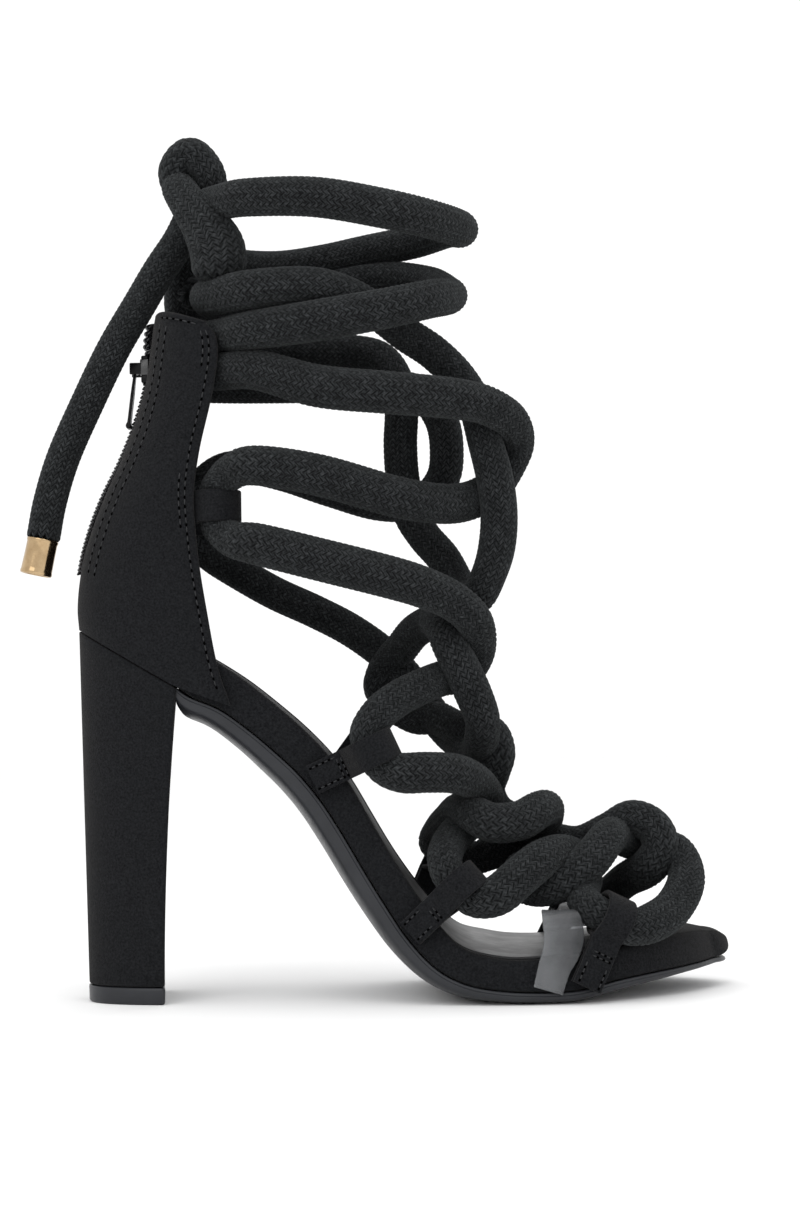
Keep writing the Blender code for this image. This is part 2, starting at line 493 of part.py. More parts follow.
# The pull hangs from an eye around the pin, leaning a little away from the zip
def make_zip_pull():
    hinge = bpy.data.objects.new("pull_hinge", None)
    hinge.location = Vector(PULL_HINGE) * MM
    hinge.rotation_euler = (0.0, math.radians(7.0), 0.0)
    bpy.context.scene.collection.objects.link(hinge)
    pull = add_object("zip_pull", box_mesh("zip_pull", (-0.6, -2.2, -18.6), (0.6, 2.2, -0.9)), BLACK_METAL)
    head = add_object("pull_head", bar_mesh("pull_head", (0, 0, 0), 1.6, 2.1, 16), BLACK_METAL)
    eye = add_object("pull_eye", bar_mesh("pull_eye", (0, 0, 0), 0.95, 4.0, 16), BLACK_METAL)
    for piece in (pull, head, eye):
        piece.parent = hinge
    boolean(pull, head, "UNION")
    boolean(pull, eye, "DIFFERENCE")


# The loop tab's own axes: towards its foot, out from the wall, and along the rope
def tab_axes(tab):
    side = math.copysign(1.0, tab["at"][1])
    turn = math.radians(tab["turn"])
    outward = Vector((-math.sin(turn), side * math.cos(turn), 0.0))
    to_foot = Vector((tab["to"][0], 0.0, tab["to"][1]))
    to_foot = (to_foot - outward * to_foot.dot(outward)).normalized()
    return to_foot, outward, to_foot.cross(outward)


# The middle line of the strip around the rope, between the two tangent legs
def tab_loop(tab):
    radius = TAB_LOOP_RADIUS + TAB_THICKNESS / 2
    meet = tab["meet"] + TAB_LOOP_SLACK
    facing = math.atan2(tab["out"], meet)
    opening = math.acos(radius / math.hypot(meet, tab["out"]))
    loop = []
    for i in range(13):
        bend = facing - opening - (2 * math.pi - 2 * opening) * i / 12
        loop.append((radius * math.cos(bend) - TAB_LOOP_SLACK, radius * math.sin(bend)))
    return loop


def strip_mesh(name, tab, line, thickness, width):
    to_foot, outward, along_rope = tab_axes(tab)
    rings = []
    for i, (a, b) in enumerate(line):
        before, after = line[max(i - 1, 0)], line[min(i + 1, len(line) - 1)]
        way = Vector((after[0] - before[0], after[1] - before[1])).normalized()
        normal = Vector((-way.y, way.x)) * thickness / 2
        ring = []
        for offset, half in ((1, -1), (1, 1), (-1, 1), (-1, -1)):
            place = Vector(tab["at"]) + to_foot * (a + offset * normal.x) + outward * (b + offset * normal.y)
            ring.append(tuple(place + along_rope * half * width / 2))
        rings.append(ring)
    return rings_to_mesh(name, rings)


# A folded strip: both legs lie together at the foot and open into a loop around the rope
def make_tab(tab):
    leg = TAB_THICKNESS / 2 + 0.05
    first = [(tab["length"], tab["out"] - leg), (tab["meet"], tab["out"] - leg)]
    last = [(tab["meet"], tab["out"] + leg), (tab["length"], tab["out"] + leg)]
    line = first + tab_loop(tab) + last
    mesh = strip_mesh(tab["name"], tab, line, TAB_THICKNESS, tab["width"])
    smooth_shading(add_object(tab["name"], mesh, SUEDE))


# The groove that a tab presses into the rope
def press_tab_into(rope, tab):
    name = "groove_" + tab["name"]
    loop = tab_loop(tab)
    first = ((loop[0][0] + tab["meet"]) / 2, (loop[0][1] + tab["out"] - TAB_THICKNESS / 2) / 2)
    last = ((loop[-1][0] + tab["meet"]) / 2, (loop[-1][1] + tab["out"] + TAB_THICKNESS / 2) / 2)
    line = [first] + loop + [last]
    mesh = strip_mesh(name, tab, line, TAB_THICKNESS + 2 * GAP, tab["width"] + 2 * GAP)
    boolean(rope, add_object(name, mesh, SUEDE), "DIFFERENCE")


# A smooth line through chosen points, with extra values carried along
def smooth_line(points, pieces):
    first = [2 * a - b for a, b in zip(points[0], points[1])]
    last = [2 * a - b for a, b in zip(points[-1], points[-2])]
    ends = [first] + [list(point) for point in points] + [last]
    line = []
    for i in range(1, len(ends) - 2):
        for k in range(pieces):
            t = k / pieces
            line.append([0.5 * (2 * b + (c - a) * t + (2 * a - 5 * b + 4 * c - d) * t * t
                                + (3 * b - a - 3 * c + d) * t ** 3)
                         for a, b, c, d in zip(ends[i - 1], ends[i], ends[i + 1], ends[i + 2])])
    line.append(list(points[-1]))
    return line


# The same line with its points a rope step apart
def even_line(points, step):
    fine = smooth_line(points, 12)
    lengths = [0.0]
    for a, b in zip(fine, fine[1:]):
        lengths.append(lengths[-1] + math.dist(a[:3], b[:3]))
    count = max(2, round(lengths[-1] / step))
    line = []
    k = 0
    for i in range(count + 1):
        goal = lengths[-1] * i / count
        while k < len(lengths) - 2 and lengths[k + 1] < goal:
            k += 1
        share = (goal - lengths[k]) / (lengths[k + 1] - lengths[k])
        line.append([a + share * (b - a) for a, b in zip(fine[k], fine[k + 1])])
    return line


# A tube along a rope route; a bed for another piece is made wider and longer by its clearance
def rope_mesh(name, points, radius, clearance=0.0):
    line = even_line(points, ROPE_STEP)
    places = [Vector(point[:3]) for point in line]
    places[0] += (places[0] - places[1]).normalized() * clearance
    places[-1] += (places[-1] - places[-2]).normalized() * clearance
    rings = []
    across = Vector((0.0, 1.0, 0.0))
    for i, place in enumerate(places):
        way = (places[min(i + 1, len(places) - 1)] - places[max(i - 1, 0)]).normalized()
        across = (across - way * across.dot(way)).normalized()
        other = way.cross(across)
        full = radius * (line[i][3] if len(line[i]) > 3 else 1.0) + clearance
        ring = []
        for k in range(ROPE_SIDES):
            turn = 2 * math.pi * (k + 0.5) / ROPE_SIDES
            ring.append(tuple(place + (across * math.cos(turn) + other * math.sin(turn)) * full * 1.04))
        rings.append(ring)
    return rings_to_mesh(name, rings)


def make_rope_upper():
    lacing = rope_mesh("rope_upper", LACING_NEAR + LACING_FAR[1:], ROPE_RADIUS)
    upper = add_object("rope_upper", lacing, ROPE_COTTON)
    for name, route in (("ankle_ring", ANKLE_RING), ("ankle_lower_turn", ANKLE_LOWER_TURN),
                        ("ankle_upper_turn", ANKLE_UPPER_TURN)):
        boolean(upper, add_object(name, rope_mesh(name, route, ROPE_RADIUS), ROPE_COTTON), "UNION")
    for tab in TABS:
        press_tab_into(upper, tab)
    smooth_shading(upper, 60)


# The knot: an arch and a wrap that grip the ankle turns and the free end
def make_rope_knot():
    knot = add_object("rope_knot", rope_mesh("rope_knot", KNOT_WRAP, ROPE_RADIUS), ROPE_COTTON)
    arch = add_object("knot_arch", rope_mesh("knot_arch", KNOT_ARCH, ROPE_RADIUS), ROPE_COTTON)
    boolean(knot, arch, "UNION")
    for name, route, radius in (("knot_bed_upper", ANKLE_UPPER_TURN, ROPE_RADIUS),
                                ("knot_bed_lower", ANKLE_LOWER_TURN, ROPE_RADIUS),
                                ("knot_bed_end", FREE_END, FREE_END_RADIUS)):
        bed = add_object(name, rope_mesh(name, route, radius, GAP), ROPE_COTTON)
        boolean(knot, bed, "DIFFERENCE")
    smooth_shading(knot, 60)


def make_rope_free_end():
    line = even_line(FREE_END, ROPE_STEP)
    curve = bpy.data.curves.new("rope_free_end", "CURVE")
    curve.dimensions = "3D"
    spline = curve.splines.new("POLY")
    spline.points.add(len(line) - 1)
    for point, place in zip(spline.points, line):
        point.co = (*(Vector(place) * MM), 1.0)
    curve.bevel_depth = FREE_END_RADIUS * MM
    curve.bevel_resolution = 3
    curve.use_fill_caps = True
    add_object("rope_free_end", curve, ROPE_COTTON)


# A metal cap with a rounded rim over the rope's end
def make_rope_tip():
    start = Vector(FREE_END[-1])
    way = (Vector(TIP_END) - start).normalized()
    across = Vector((0.0, 1.0, 0.0))
    other = way.cross(across)
    rings = []
    for along, radius in ((0.0, TIP_RADIUS), (TIP_LENGTH - 0.8, TIP_RADIUS), (TIP_LENGTH, TIP_RADIUS - 0.8)):
        centre = start + way * (GAP + along)
        turns = [2 * math.pi * i / 20 for i in range(20)]
        rings.append([tuple(centre + (across * math.cos(a) + other * math.sin(a)) * radius) for a in turns])
    smooth_shading(add_object("rope_tip", rings_to_mesh("rope_tip", rings), GOLD_METAL))


def make_toe_strap():
    rings = []
    line = smooth_line([(*row["at"], row["half"]) for row in STRAP_LINE], 3)
    for i, (x, y, z, half) in enumerate(line):
        before, after = line[max(i - 1, 0)], line[min(i + 1, len(line) - 1)]
        way = Vector((after[0] - before[0], after[1] - before[1], after[2] - before[2])).normalized()
        across = (Vector((1.0, 0.0, 0.0)) - way * way.x).normalized()
        normal = across.cross(way) * STRAP_THICKNESS / 2
        place = Vector((x, y, z))
        corners = ((-1, -1), (1, -1), (1, 1), (-1, 1))
        rings.append([tuple(place + across * half * u + normal * v) for u, v in corners])
    smooth_shading(add_object("toe_strap", rings_to_mesh("toe_strap", rings), CLEAR_VINYL))


clear_scene()
make_heel()
make_outsole()
make_platform()
make_insole()
make_counter()
make_zip_chain()
make_zip_slider()
make_zip_pull()
for tab in TABS:
    make_tab(tab)
make_toe_strap()
make_rope_upper()
make_rope_knot()
make_rope_free_end()
make_rope_tip()
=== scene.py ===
import math

import bmesh
import bpy
import numpy as np
from mathutils import Matrix, Vector


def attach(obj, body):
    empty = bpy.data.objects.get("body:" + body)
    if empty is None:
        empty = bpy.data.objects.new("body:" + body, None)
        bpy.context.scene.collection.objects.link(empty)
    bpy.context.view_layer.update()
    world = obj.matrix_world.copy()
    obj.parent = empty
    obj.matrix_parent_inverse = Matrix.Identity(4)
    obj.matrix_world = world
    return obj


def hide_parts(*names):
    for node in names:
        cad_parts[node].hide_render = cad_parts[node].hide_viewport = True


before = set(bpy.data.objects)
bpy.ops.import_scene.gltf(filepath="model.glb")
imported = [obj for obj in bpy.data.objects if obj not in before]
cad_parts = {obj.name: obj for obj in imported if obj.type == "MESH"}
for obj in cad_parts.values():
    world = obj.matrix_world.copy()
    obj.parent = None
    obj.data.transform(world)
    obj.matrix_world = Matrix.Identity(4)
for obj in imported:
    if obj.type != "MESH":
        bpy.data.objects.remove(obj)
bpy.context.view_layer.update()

# Camera: low and a little more than half a metre from the shoe's outer side, as the photo was taken.
# It is level with the arch and looks slightly upwards.
CAMERA_PLACE = (0.083, -0.650, 0.078)
CAMERA_TILT = 93.5
CAMERA_ROLL = -1.0
CAMERA_LENS = 63.45
camera = bpy.data.objects.new("camera", bpy.data.cameras.new("camera"))
camera.data.lens = CAMERA_LENS
camera.data.sensor_width = 36.0
camera.data.clip_start = 0.01
tilt = Matrix.Rotation(math.radians(CAMERA_TILT), 4, "X")
roll = Matrix.Rotation(math.radians(CAMERA_ROLL), 4, "Z")
camera.matrix_world = Matrix.Translation(CAMERA_PLACE) @ (tilt @ roll)
bpy.context.scene.collection.objects.link(camera)
bpy.context.scene.camera = camera
bpy.context.scene.view_settings.view_transform = "Standard"

# Platform: a moulded midsole wrapped in black synthetic suede, from the heel seat to the toe.
# The suede is pulled over the edges and glued underneath, so they are softly rounded, most of all at the toe.
MM = 0.001
NOSE_START = 45.0
PLATFORM_TOP = -0.1
PLATFORM_TOP_ROUND = 1.5
PLATFORM_TOE_ROUND = 3.4
PLATFORM_LOWER_ROUND = 0.7
RECESS_DEPTH = 1.0
RECESS_EDGE = 2.5
RECESS_SLOPE = 0.4
FAR_RISE = 2.0
FAR_RISE_PLACE = 103.0
FAR_RISE_SPREAD = 15.0
FAR_RISE_WIDTH = 40.0
# Stations: x, z, lean of the section, thickness of platform and outsole, half-width to the near and far edge
SOLE_STATIONS = [
    (-12.2, 124.2, 0, 13.7, 0.0, 3.5, 3.5), (-11.0, 123.5, 0, 13.7, 0.0, 7.8, 7.8),
    (-8.0, 121.7, 0, 13.7, 0.0, 13.0, 13.0), (-2.0, 118.2, 0, 13.7, 0.0, 17.2, 17.2),
    (6.0, 113.5, 0, 13.7, 0.0, 20.7, 20.7), (14.0, 109.0, -3, 13.7, 0.0, 22.0, 22.0),
    (21.8, 104.6, -15, 13.0, 4.0, 22.6, 22.6), (28.4, 100.7, -28, 12.7, 4.4, 22.7, 22.7),
    (36.2, 95.4, -36, 11.2, 4.7, 22.4, 22.4), (45.1, 88.2, -41, 10.7, 5.0, 22.2, 22.2),
    (53.1, 81.1, -46, 10.6, 5.4, 22.2, 22.2), (60.6, 73.2, -52, 10.2, 5.7, 22.5, 22.5),
    (66.9, 64.7, -58, 9.8, 5.8, 23.0, 23.2), (72.9, 54.2, -60, 9.2, 5.8, 24.0, 24.6),
    (78.9, 43.6, -60, 9.1, 5.7, 25.4, 26.6), (84.9, 34.1, -57, 9.3, 5.5, 27.2, 29.2),
    (91.1, 25.3, -52, 9.6, 5.1, 29.2, 32.2), (97.4, 18.1, -42, 9.4, 4.4, 31.2, 35.2),
    (103.8, 14.6, -25, 9.2, 3.7, 32.6, 37.6), (112.0, 13.0, -8, 8.9, 3.1, 33.8, 39.8),
    (121.0, 13.0, 2, 9.3, 2.9, 34.2, 41.2), (131.0, 13.7, 5, 9.8, 2.9, 33.0, 41.4),
    (142.0, 15.1, 8, 9.0, 2.9, 29.4, 40.2), (152.0, 16.8, 10, 9.4, 2.6, 23.8, 37.6),
    (161.0, 17.7, 12, 9.6, 2.1, 16.4, 33.6), (169.0, 17.8, 13, 9.2, 1.8, 7.4, 28.0),
    (175.0, 17.0, 12, 7.9, 1.6, -1.0, 22.8), (180.0, 14.8, 8, 5.0, 1.4, -9.0, 16.4),
]


# Rows on a smooth line through the given rows
def smooth_rows(rows, pieces):
    rows = np.asarray(rows, float)
    ends = np.vstack([2 * rows[0] - rows[1], rows, 2 * rows[-1] - rows[-2]])
    t = np.arange(pieces)[:, None] / pieces
    fine = []
    for a, b, c, d in zip(ends, ends[1:], ends[2:], ends[3:]):
        bend = (2 * a - 5 * b + 4 * c - d) * t ** 2 + (3 * b - a - 3 * c + d) * t ** 3
        fine.append(0.5 * (2 * b + (c - a) * t + bend))
    return np.vstack(fine + [rows[-1:]])


# A mesh of closed skins, each over its own rings of equal length, in mm.
# The first ring's face runs backwards, so that both end faces look outwards.
def skins(name, bodies):
    points, faces = [], []
    for rings in bodies:
        rings = np.asarray(rings, float)
        rows, count = rings.shape[:2]
        index = len(points) + np.arange(rows * count).reshape(rows, count)
        beside = np.roll(index, -1, axis=1)
        quads = np.stack([index[:-1], beside[:-1], beside[1:], index[1:]], axis=-1)
        faces += quads.reshape(-1, 4).tolist()
        faces += [np.roll(index[0, ::-1], 1).tolist(), index[-1].tolist()]
        points += (rings.reshape(-1, 3) * MM).tolist()
    mesh = bpy.data.meshes.new(name)
    mesh.from_pydata(points, [], faces)
    mesh.shade_smooth()
    return mesh


# A piece of the shoe: its material, the body it moves with and the CAD nodes it stands for
def add_piece(name, mesh, material, nodes=(), body="shoe"):
    piece = bpy.data.objects.new(name, mesh)
    bpy.context.scene.collection.objects.link(piece)
    mesh.materials.append(material)
    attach(piece, body)
    if nodes:
        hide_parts(*nodes)
    return piece


# A piece of closed skins with all faces turned outwards, its edges crisp from the angle that is given
def add_solid(name, bodies, material, nodes=(), body="shoe", sharp=None):
    mesh = skins(name, bodies)
    shape = bmesh.new()
    shape.from_mesh(mesh)
    bmesh.ops.recalc_face_normals(shape, faces=shape.faces)
    shape.to_mesh(mesh)
    shape.free()
    mesh.shade_smooth()
    if sharp:
        mesh.set_sharp_from_angle(angle=math.radians(sharp))
    return add_piece(name, mesh, material, nodes, body)


# Points of a sole section: across is Y, up runs along the leaning section from the platform's top edge
def section_ring(station, profile):
    lean = math.radians(station[2])
    ring = []
    for across, up in profile:
        ring.append((station[0] - up * math.sin(lean), across, station[1] + up * math.cos(lean)))
    return ring


# A rectangle with its lower and upper corners rounded
def round_box(near, far, low, high, low_round, high_round):
    corners = ((near + high_round, high - high_round, high_round, 180),
               (far - high_round, high - high_round, high_round, 90),
               (far - low_round, low + low_round, low_round, 0),
               (near + low_round, low + low_round, low_round, -90))
    outline = []
    for across, up, radius, start in corners:
        for i in range(8):
            turn = math.radians(start - 90 * i / 7)
            outline.append((across + radius * math.cos(turn), up + radius * math.sin(turn)))
    return outline


# Extra rings that close the front end in a round nose: in plan they go on with the outline's narrowing
def nose_rings(ring, reach, flatness):
    ring = np.asarray(ring)
    middle = ring.mean(axis=0)
    start = math.sin(math.radians(NOSE_START))
    rings = []
    for i in range(1, 11):
        turn = math.radians(9 * i)
        come = start + (1 - start) * math.sin(turn)
        wide = max(math.sqrt(1 - min(come, 1.0) ** 2) / math.cos(math.radians(NOSE_START)), 0.02)
        tall = max(math.cos(turn), 0.004) ** flatness
        rings.append(middle + (ring - middle) * (tall, wide, tall) + (reach * math.sin(turn), 0, 0))
    return rings


# An effect that several materials share: a node group with named inputs and one value that varies
def new_effect(name, inputs):
    effect = bpy.data.node_groups.new(name, "ShaderNodeTree")
    for label in inputs:
        effect.interface.new_socket(label, in_out="INPUT", socket_type="NodeSocketFloat")
    effect.interface.new_socket("Value", in_out="OUTPUT", socket_type="NodeSocketFloat")
    return effect, effect.nodes.new("NodeGroupInput"), effect.nodes.new("NodeGroupOutput")


# The effect placed in a material, with its own values
def use_effect(material, effect, values):
    node = material.node_tree.nodes.new("ShaderNodeGroup")
    node.node_tree = effect
    for label, value in values.items():
        node.inputs[label].default_value = value
    return node


# Grain: noise in the object's own space, spread between two values
grain, grain_in, grain_out = new_effect("grain", ("Scale", "Low", "High"))
grain_place = grain.nodes.new("ShaderNodeTexCoord")
grain_noise = grain.nodes.new("ShaderNodeTexNoise")
grain_noise.inputs["Detail"].default_value = 4.0
grain_noise.inputs["Roughness"].default_value = 0.65
grain_range = grain.nodes.new("ShaderNodeMapRange")
grain_range.inputs["From Min"].default_value = 0.3
grain_range.inputs["From Max"].default_value = 0.7
grain.links.new(grain_place.outputs["Object"], grain_noise.inputs["Vector"])
grain.links.new(grain_in.outputs["Scale"], grain_noise.inputs["Scale"])
grain.links.new(grain_noise.outputs["Fac"], grain_range.inputs["Value"])
grain.links.new(grain_in.outputs["Low"], grain_range.inputs["To Min"])
grain.links.new(grain_in.outputs["High"], grain_range.inputs["To Max"])
grain.links.new(grain_range.outputs["Result"], grain_out.inputs["Value"])


def new_material(name, roughness, specular):
    material = bpy.data.materials.new(name)
    material.use_nodes = True
    shader = material.node_tree.nodes["Principled BSDF"]
    shader.inputs["Roughness"].default_value = roughness
    shader.inputs["Specular IOR Level"].default_value = specular
    return material, shader


def use_grain(material, scale, low=0.0, high=1.0):
    return use_effect(material, grain, {"Scale": scale, "Low": low, "High": high}).outputs["Value"]


# A colour between two others, by a value
def mix_colours(material, value, dark, light):
    node = material.node_tree.nodes.new("ShaderNodeMix")
    node.data_type = "RGBA"
    node.inputs[6].default_value = (*dark, 1.0)
    node.inputs[7].default_value = (*light, 1.0)
    material.node_tree.links.new(value, node.inputs[0])
    return node.outputs[2]


# A base colour that varies between two others
def paint(material, shader, scale, dark, light):
    colour = mix_colours(material, use_grain(material, scale), dark, light)
    material.node_tree.links.new(colour, shader.inputs["Base Color"])


# Small bumps in the surface, from a height that varies
def add_bump(material, shader, height, distance, strength):
    node = material.node_tree.nodes.new("ShaderNodeBump")
    node.inputs["Distance"].default_value = distance
    node.inputs["Strength"].default_value = strength
    material.node_tree.links.new(height, node.inputs["Height"])
    material.node_tree.links.new(node.outputs["Normal"], shader.inputs["Normal"])


suede, suede_shader = new_material("suede", 0.95, 0.05)
paint(suede, suede_shader, 1600, (0.0042, 0.0045, 0.0053), (0.0174, 0.0182, 0.0200))
suede_shader.inputs["Sheen Weight"].default_value = 0.06
suede_shader.inputs["Sheen Roughness"].default_value = 0.45
suede_shader.inputs["Sheen Tint"].default_value = (0.95, 0.9, 0.86, 1.0)
add_bump(suede, suede_shader, use_grain(suede, 2600), 0.00022, 0.6)

sole_fine = smooth_rows(SOLE_STATIONS[:-1], 6)


# How far a value has come from a start to an end, from 0 to 1
def ramp(value, start, end):
    return min(max((value - start) / (end - start), 0.0), 1.0)


# The top is sunk a little inside its edge, where the insole lies, except at the narrow back and past the ball
def recess_depth(station):
    width = station[5] + station[6]
    return RECESS_DEPTH * ramp(width, 12, 22) * ramp(station[0], 106, 94)


# Before the ball of the foot the top rises a little towards the inner side
def far_rise(station, across):
    place = (station[0] - FAR_RISE_PLACE) / FAR_RISE_SPREAD
    return FAR_RISE * max(across, 0.0) / FAR_RISE_WIDTH * math.exp(-place * place)


def platform_ring(station):
    x, thick, near, far = station[0], station[3], -station[5], station[6]
    top_round = PLATFORM_TOP_ROUND + (PLATFORM_TOE_ROUND - PLATFORM_TOP_ROUND) * ramp(x, 140, 175)
    top_round = min(top_round, 0.42 * thick, 0.4 * (far - near))
    edge = min(RECESS_EDGE, 0.42 * (far - near))
    foot = edge + RECESS_SLOPE
    rim = PLATFORM_TOP
    floor = rim - recess_depth(station)
    sunk = [(near + edge, rim), (near + foot, floor), (far - foot, floor), (far - edge, rim)]
    outline = round_box(near, far, -thick, rim, PLATFORM_LOWER_ROUND, top_round)
    top = [(across, up + far_rise(station, across)) for across, up in outline[:8] + sunk + outline[8:16]]
    return section_ring(station, top + outline[16:])


platform_rings = [platform_ring(station) for station in sole_fine]
platform_rings += nose_rings(platform_rings[-1], reach=6.2, flatness=0.95)
add_solid("platform_wrap", [platform_rings], suede, ["platform"], sharp=50)

# Outsole: one moulded sheet of smooth dark grey rubber, cemented under the platform from the heel breast on.
# Its edge stands a little proud of the suede and has a fine groove.
# Underneath it is crowned, and worn flat by the floor.
OUTSOLE_PROUD = 0.5
OUTSOLE_EDGE_SHARE = 0.55
OUTSOLE_CROWN = 1.7
OUTSOLE_TOE_FLATTENING = 1.3
OUTSOLE_CROWN_REACH = 0.36
# Clearance between pieces that are cemented or pressed together
GAP = 0.3
# The side's edge with its groove: inset from the side and depth below the top
OUTSOLE_SIDE = [(0.9, 0.0), (0.45, 0.0), (0.12, -0.15), (0.0, -0.45), (0.0, -0.7), (0.14, -0.85), (0.0, -1.0)]


def vary_roughness(material, shader, scale, low, high):
    material.node_tree.links.new(use_grain(material, scale, low, high), shader.inputs["Roughness"])


rubber, rubber_shader = new_material("sole_rubber", 0.36, 0.3)
paint(rubber, rubber_shader, 70, (0.017, 0.018, 0.021), (0.0245, 0.026, 0.03))
vary_roughness(rubber, rubber_shader, 400, 0.32, 0.44)
add_bump(rubber, rubber_shader, use_grain(rubber, 1500), 0.00003, 0.25)


def outsole_ring(station):
    near, far = -station[5] - OUTSOLE_PROUD, station[6] + OUTSOLE_PROUD
    top = -station[3] - GAP
    edge = top - OUTSOLE_EDGE_SHARE * station[4]
    crown = top - station[4] - OUTSOLE_CROWN + OUTSOLE_TOE_FLATTENING * ramp(station[0], 140, 170)
    reach = OUTSOLE_CROWN_REACH * (far - near)
    near_half = [(near + inset, top + down) for inset, down in OUTSOLE_SIDE]
    for i in range(13):
        turn = math.radians(90 * i / 12)
        near_half.append((near + reach * (1 - math.cos(turn)), edge + (crown - edge) * math.sin(turn)))
    far_half = [(near + far - across, up) for across, up in reversed(near_half)]
    ring = section_ring(station, near_half + far_half)
    return [(x, y, max(z, 0.0)) for x, y, z in ring]


outsole_stations = [(17.7, 106.1, -4, 13.0, 4.2, 22.6, 22.6)] + SOLE_STATIONS[7:-1]
outsole_rings = [outsole_ring(station) for station in smooth_rows(outsole_stations, 6)]
outsole_rings += nose_rings(outsole_rings[-1], reach=4.2, flatness=0.7)
add_solid("outsole_rubber", [outsole_rings], rubber, ["outsole"], sharp=35)

# Insole: a thin glossy sock of coated sheet, glued on the platform a little inside its edge.
# It is rubbed to a shine under the ball of the foot and toes, and duller up the steep arch.
INSOLE_THICKNESS = 0.7
INSOLE_INSET = 3.0
INSOLE_LEVEL = -0.05

# Change along the shoe: one value before a start and another after an end, in metres along X
change, change_in, change_out = new_effect("change_along", ("Start", "End", "Before", "After"))
change_place = change.nodes.new("ShaderNodeTexCoord")
change_parts = change.nodes.new("ShaderNodeSeparateXYZ")
change_range = change.nodes.new("ShaderNodeMapRange")
change.links.new(change_place.outputs["Object"], change_parts.inputs["Vector"])
change.links.new(change_parts.outputs["X"], change_range.inputs["Value"])
for label, goal in (("Start", "From Min"), ("End", "From Max"), ("Before", "To Min"), ("After", "To Max")):
    change.links.new(change_in.outputs[label], change_range.inputs[goal])
change.links.new(change_range.outputs["Result"], change_out.inputs["Value"])


# The change between two grains, each given by its lowest and highest value
def change_along(material, start, end, scale, before, after):
    node = use_effect(material, change, {"Start": start, "End": end})
    for label, limits in (("Before", before), ("After", after)):
        material.node_tree.links.new(use_grain(material, scale, *limits), node.inputs[label])
    return node.outputs["Value"]


sock, sock_shader = new_material("sock_lining", 0.4, 0.27)
paint(sock, sock_shader, 120, (0.012, 0.012, 0.013), (0.022, 0.022, 0.024))
sock_polish = change_along(sock, 0.088, 0.104, 90, (0.66, 0.84), (0.34, 0.46))
sock.node_tree.links.new(sock_polish, sock_shader.inputs["Roughness"])
add_bump(sock, sock_shader, use_grain(sock, 55), 0.0012, 0.12)


def insole_ring(station):
    inset = min(INSOLE_INSET, 0.3 * (station[5] + station[6]))
    low = INSOLE_LEVEL - recess_depth(station)
    near, far = -station[5] + inset, station[6] - inset
    outline = round_box(near, far, low, low + INSOLE_THICKNESS, 0.1, 0.4)
    return section_ring(station, [(across, up + far_rise(station, across)) for across, up in outline])


insole_stations = [(-10.8, 123.35, 0, 13.7, 0.0, 7.2, 7.2)] + SOLE_STATIONS[2:-3]
insole_rings = [insole_ring(station) for station in smooth_rows(insole_stations, 6)]
add_solid("insole_sock", [insole_rings], sock, ["insole"], sharp=50)

# Heel: a tall moulded block, D-shaped in plan, covered in the same suede, which is turned in at both ends.
# It is screwed up into the heel seat, and its top follows the slope of the seat.
HEEL_LIFT_HEIGHT = 5.0
HEEL_AT_FLOOR = {"back": -12.5, "breast": 12.0, "half_width": 20.5}
HEEL_AT_SEAT = {"back": -14.6, "breast": 16.8, "half_width": 25.2}
HEEL_BREAST_SKEW = 4.4
HEEL_ROUND_LENGTH = 47.6
HEEL_ROUNDNESS = 0.75
HEEL_CORNER = 1.0
HEEL_BREAST_FLARE = 1.6
SEAT_BACK = (-15.3, 112.0)
SEAT_SLOPE = 0.588


def seat_height(x):
    return SEAT_BACK[1] - SEAT_SLOPE * (x - SEAT_BACK[0])


# A point of the rounded back: how far forward and how far to the side, from the centre back at 0
def round_back(turn):
    angle = math.radians(turn)
    forward = 1 - abs(math.cos(angle)) ** HEEL_ROUNDNESS
    side = math.copysign(abs(math.sin(angle)) ** HEEL_ROUNDNESS, math.sin(angle))
    return forward, side


# The outline in plan: the rounded back, then the two corners of the flat breast
def heel_outline(back, breast, half_width, inset):
    back, breast, half_width = back + inset, breast - inset, half_width - inset
    fronts = (breast, breast - HEEL_BREAST_SKEW)
    turns = []
    for front in fronts:
        end = 1 - (front - HEEL_CORNER - back) / HEEL_ROUND_LENGTH
        turns.append(math.degrees(math.acos(end ** (1 / HEEL_ROUNDNESS))))
    outline = []
    for i in range(49):
        share = i / 24 - 1
        forward, side = round_back(share * (turns[0] if share < 0 else turns[1]))
        outline.append((back + HEEL_ROUND_LENGTH * forward, half_width * side))
    near_edge, far_edge = outline[0][1], outline[-1][1]
    for i in range(1, 7):
        turn = math.radians(15 * i)
        x = fronts[1] - HEEL_CORNER * (1 - math.sin(turn))
        outline.append((x, far_edge - HEEL_CORNER * (1 - math.cos(turn))))
    for i in range(6):
        turn = math.radians(90 - 15 * i)
        x = fronts[0] - HEEL_CORNER * (1 - math.sin(turn))
        outline.append((x, near_edge + HEEL_CORNER * (1 - math.cos(turn))))
    return outline


# The outline at a share of the block's height
def heel_ring(share, lift, inset):
    foot, seat = HEEL_AT_FLOOR, HEEL_AT_SEAT
    back = foot["back"] + share * (seat["back"] - foot["back"])
    breast = foot["breast"] + share ** HEEL_BREAST_FLARE * (seat["breast"] - foot["breast"])
    width = foot["half_width"] + share * (seat["half_width"] - foot["half_width"])
    bottom = HEEL_LIFT_HEIGHT + GAP
    ring = []
    for x, y in heel_outline(back, breast, width, inset):
        ring.append((x, y, bottom + share * (seat_height(x) - GAP - bottom) + lift))
    return ring


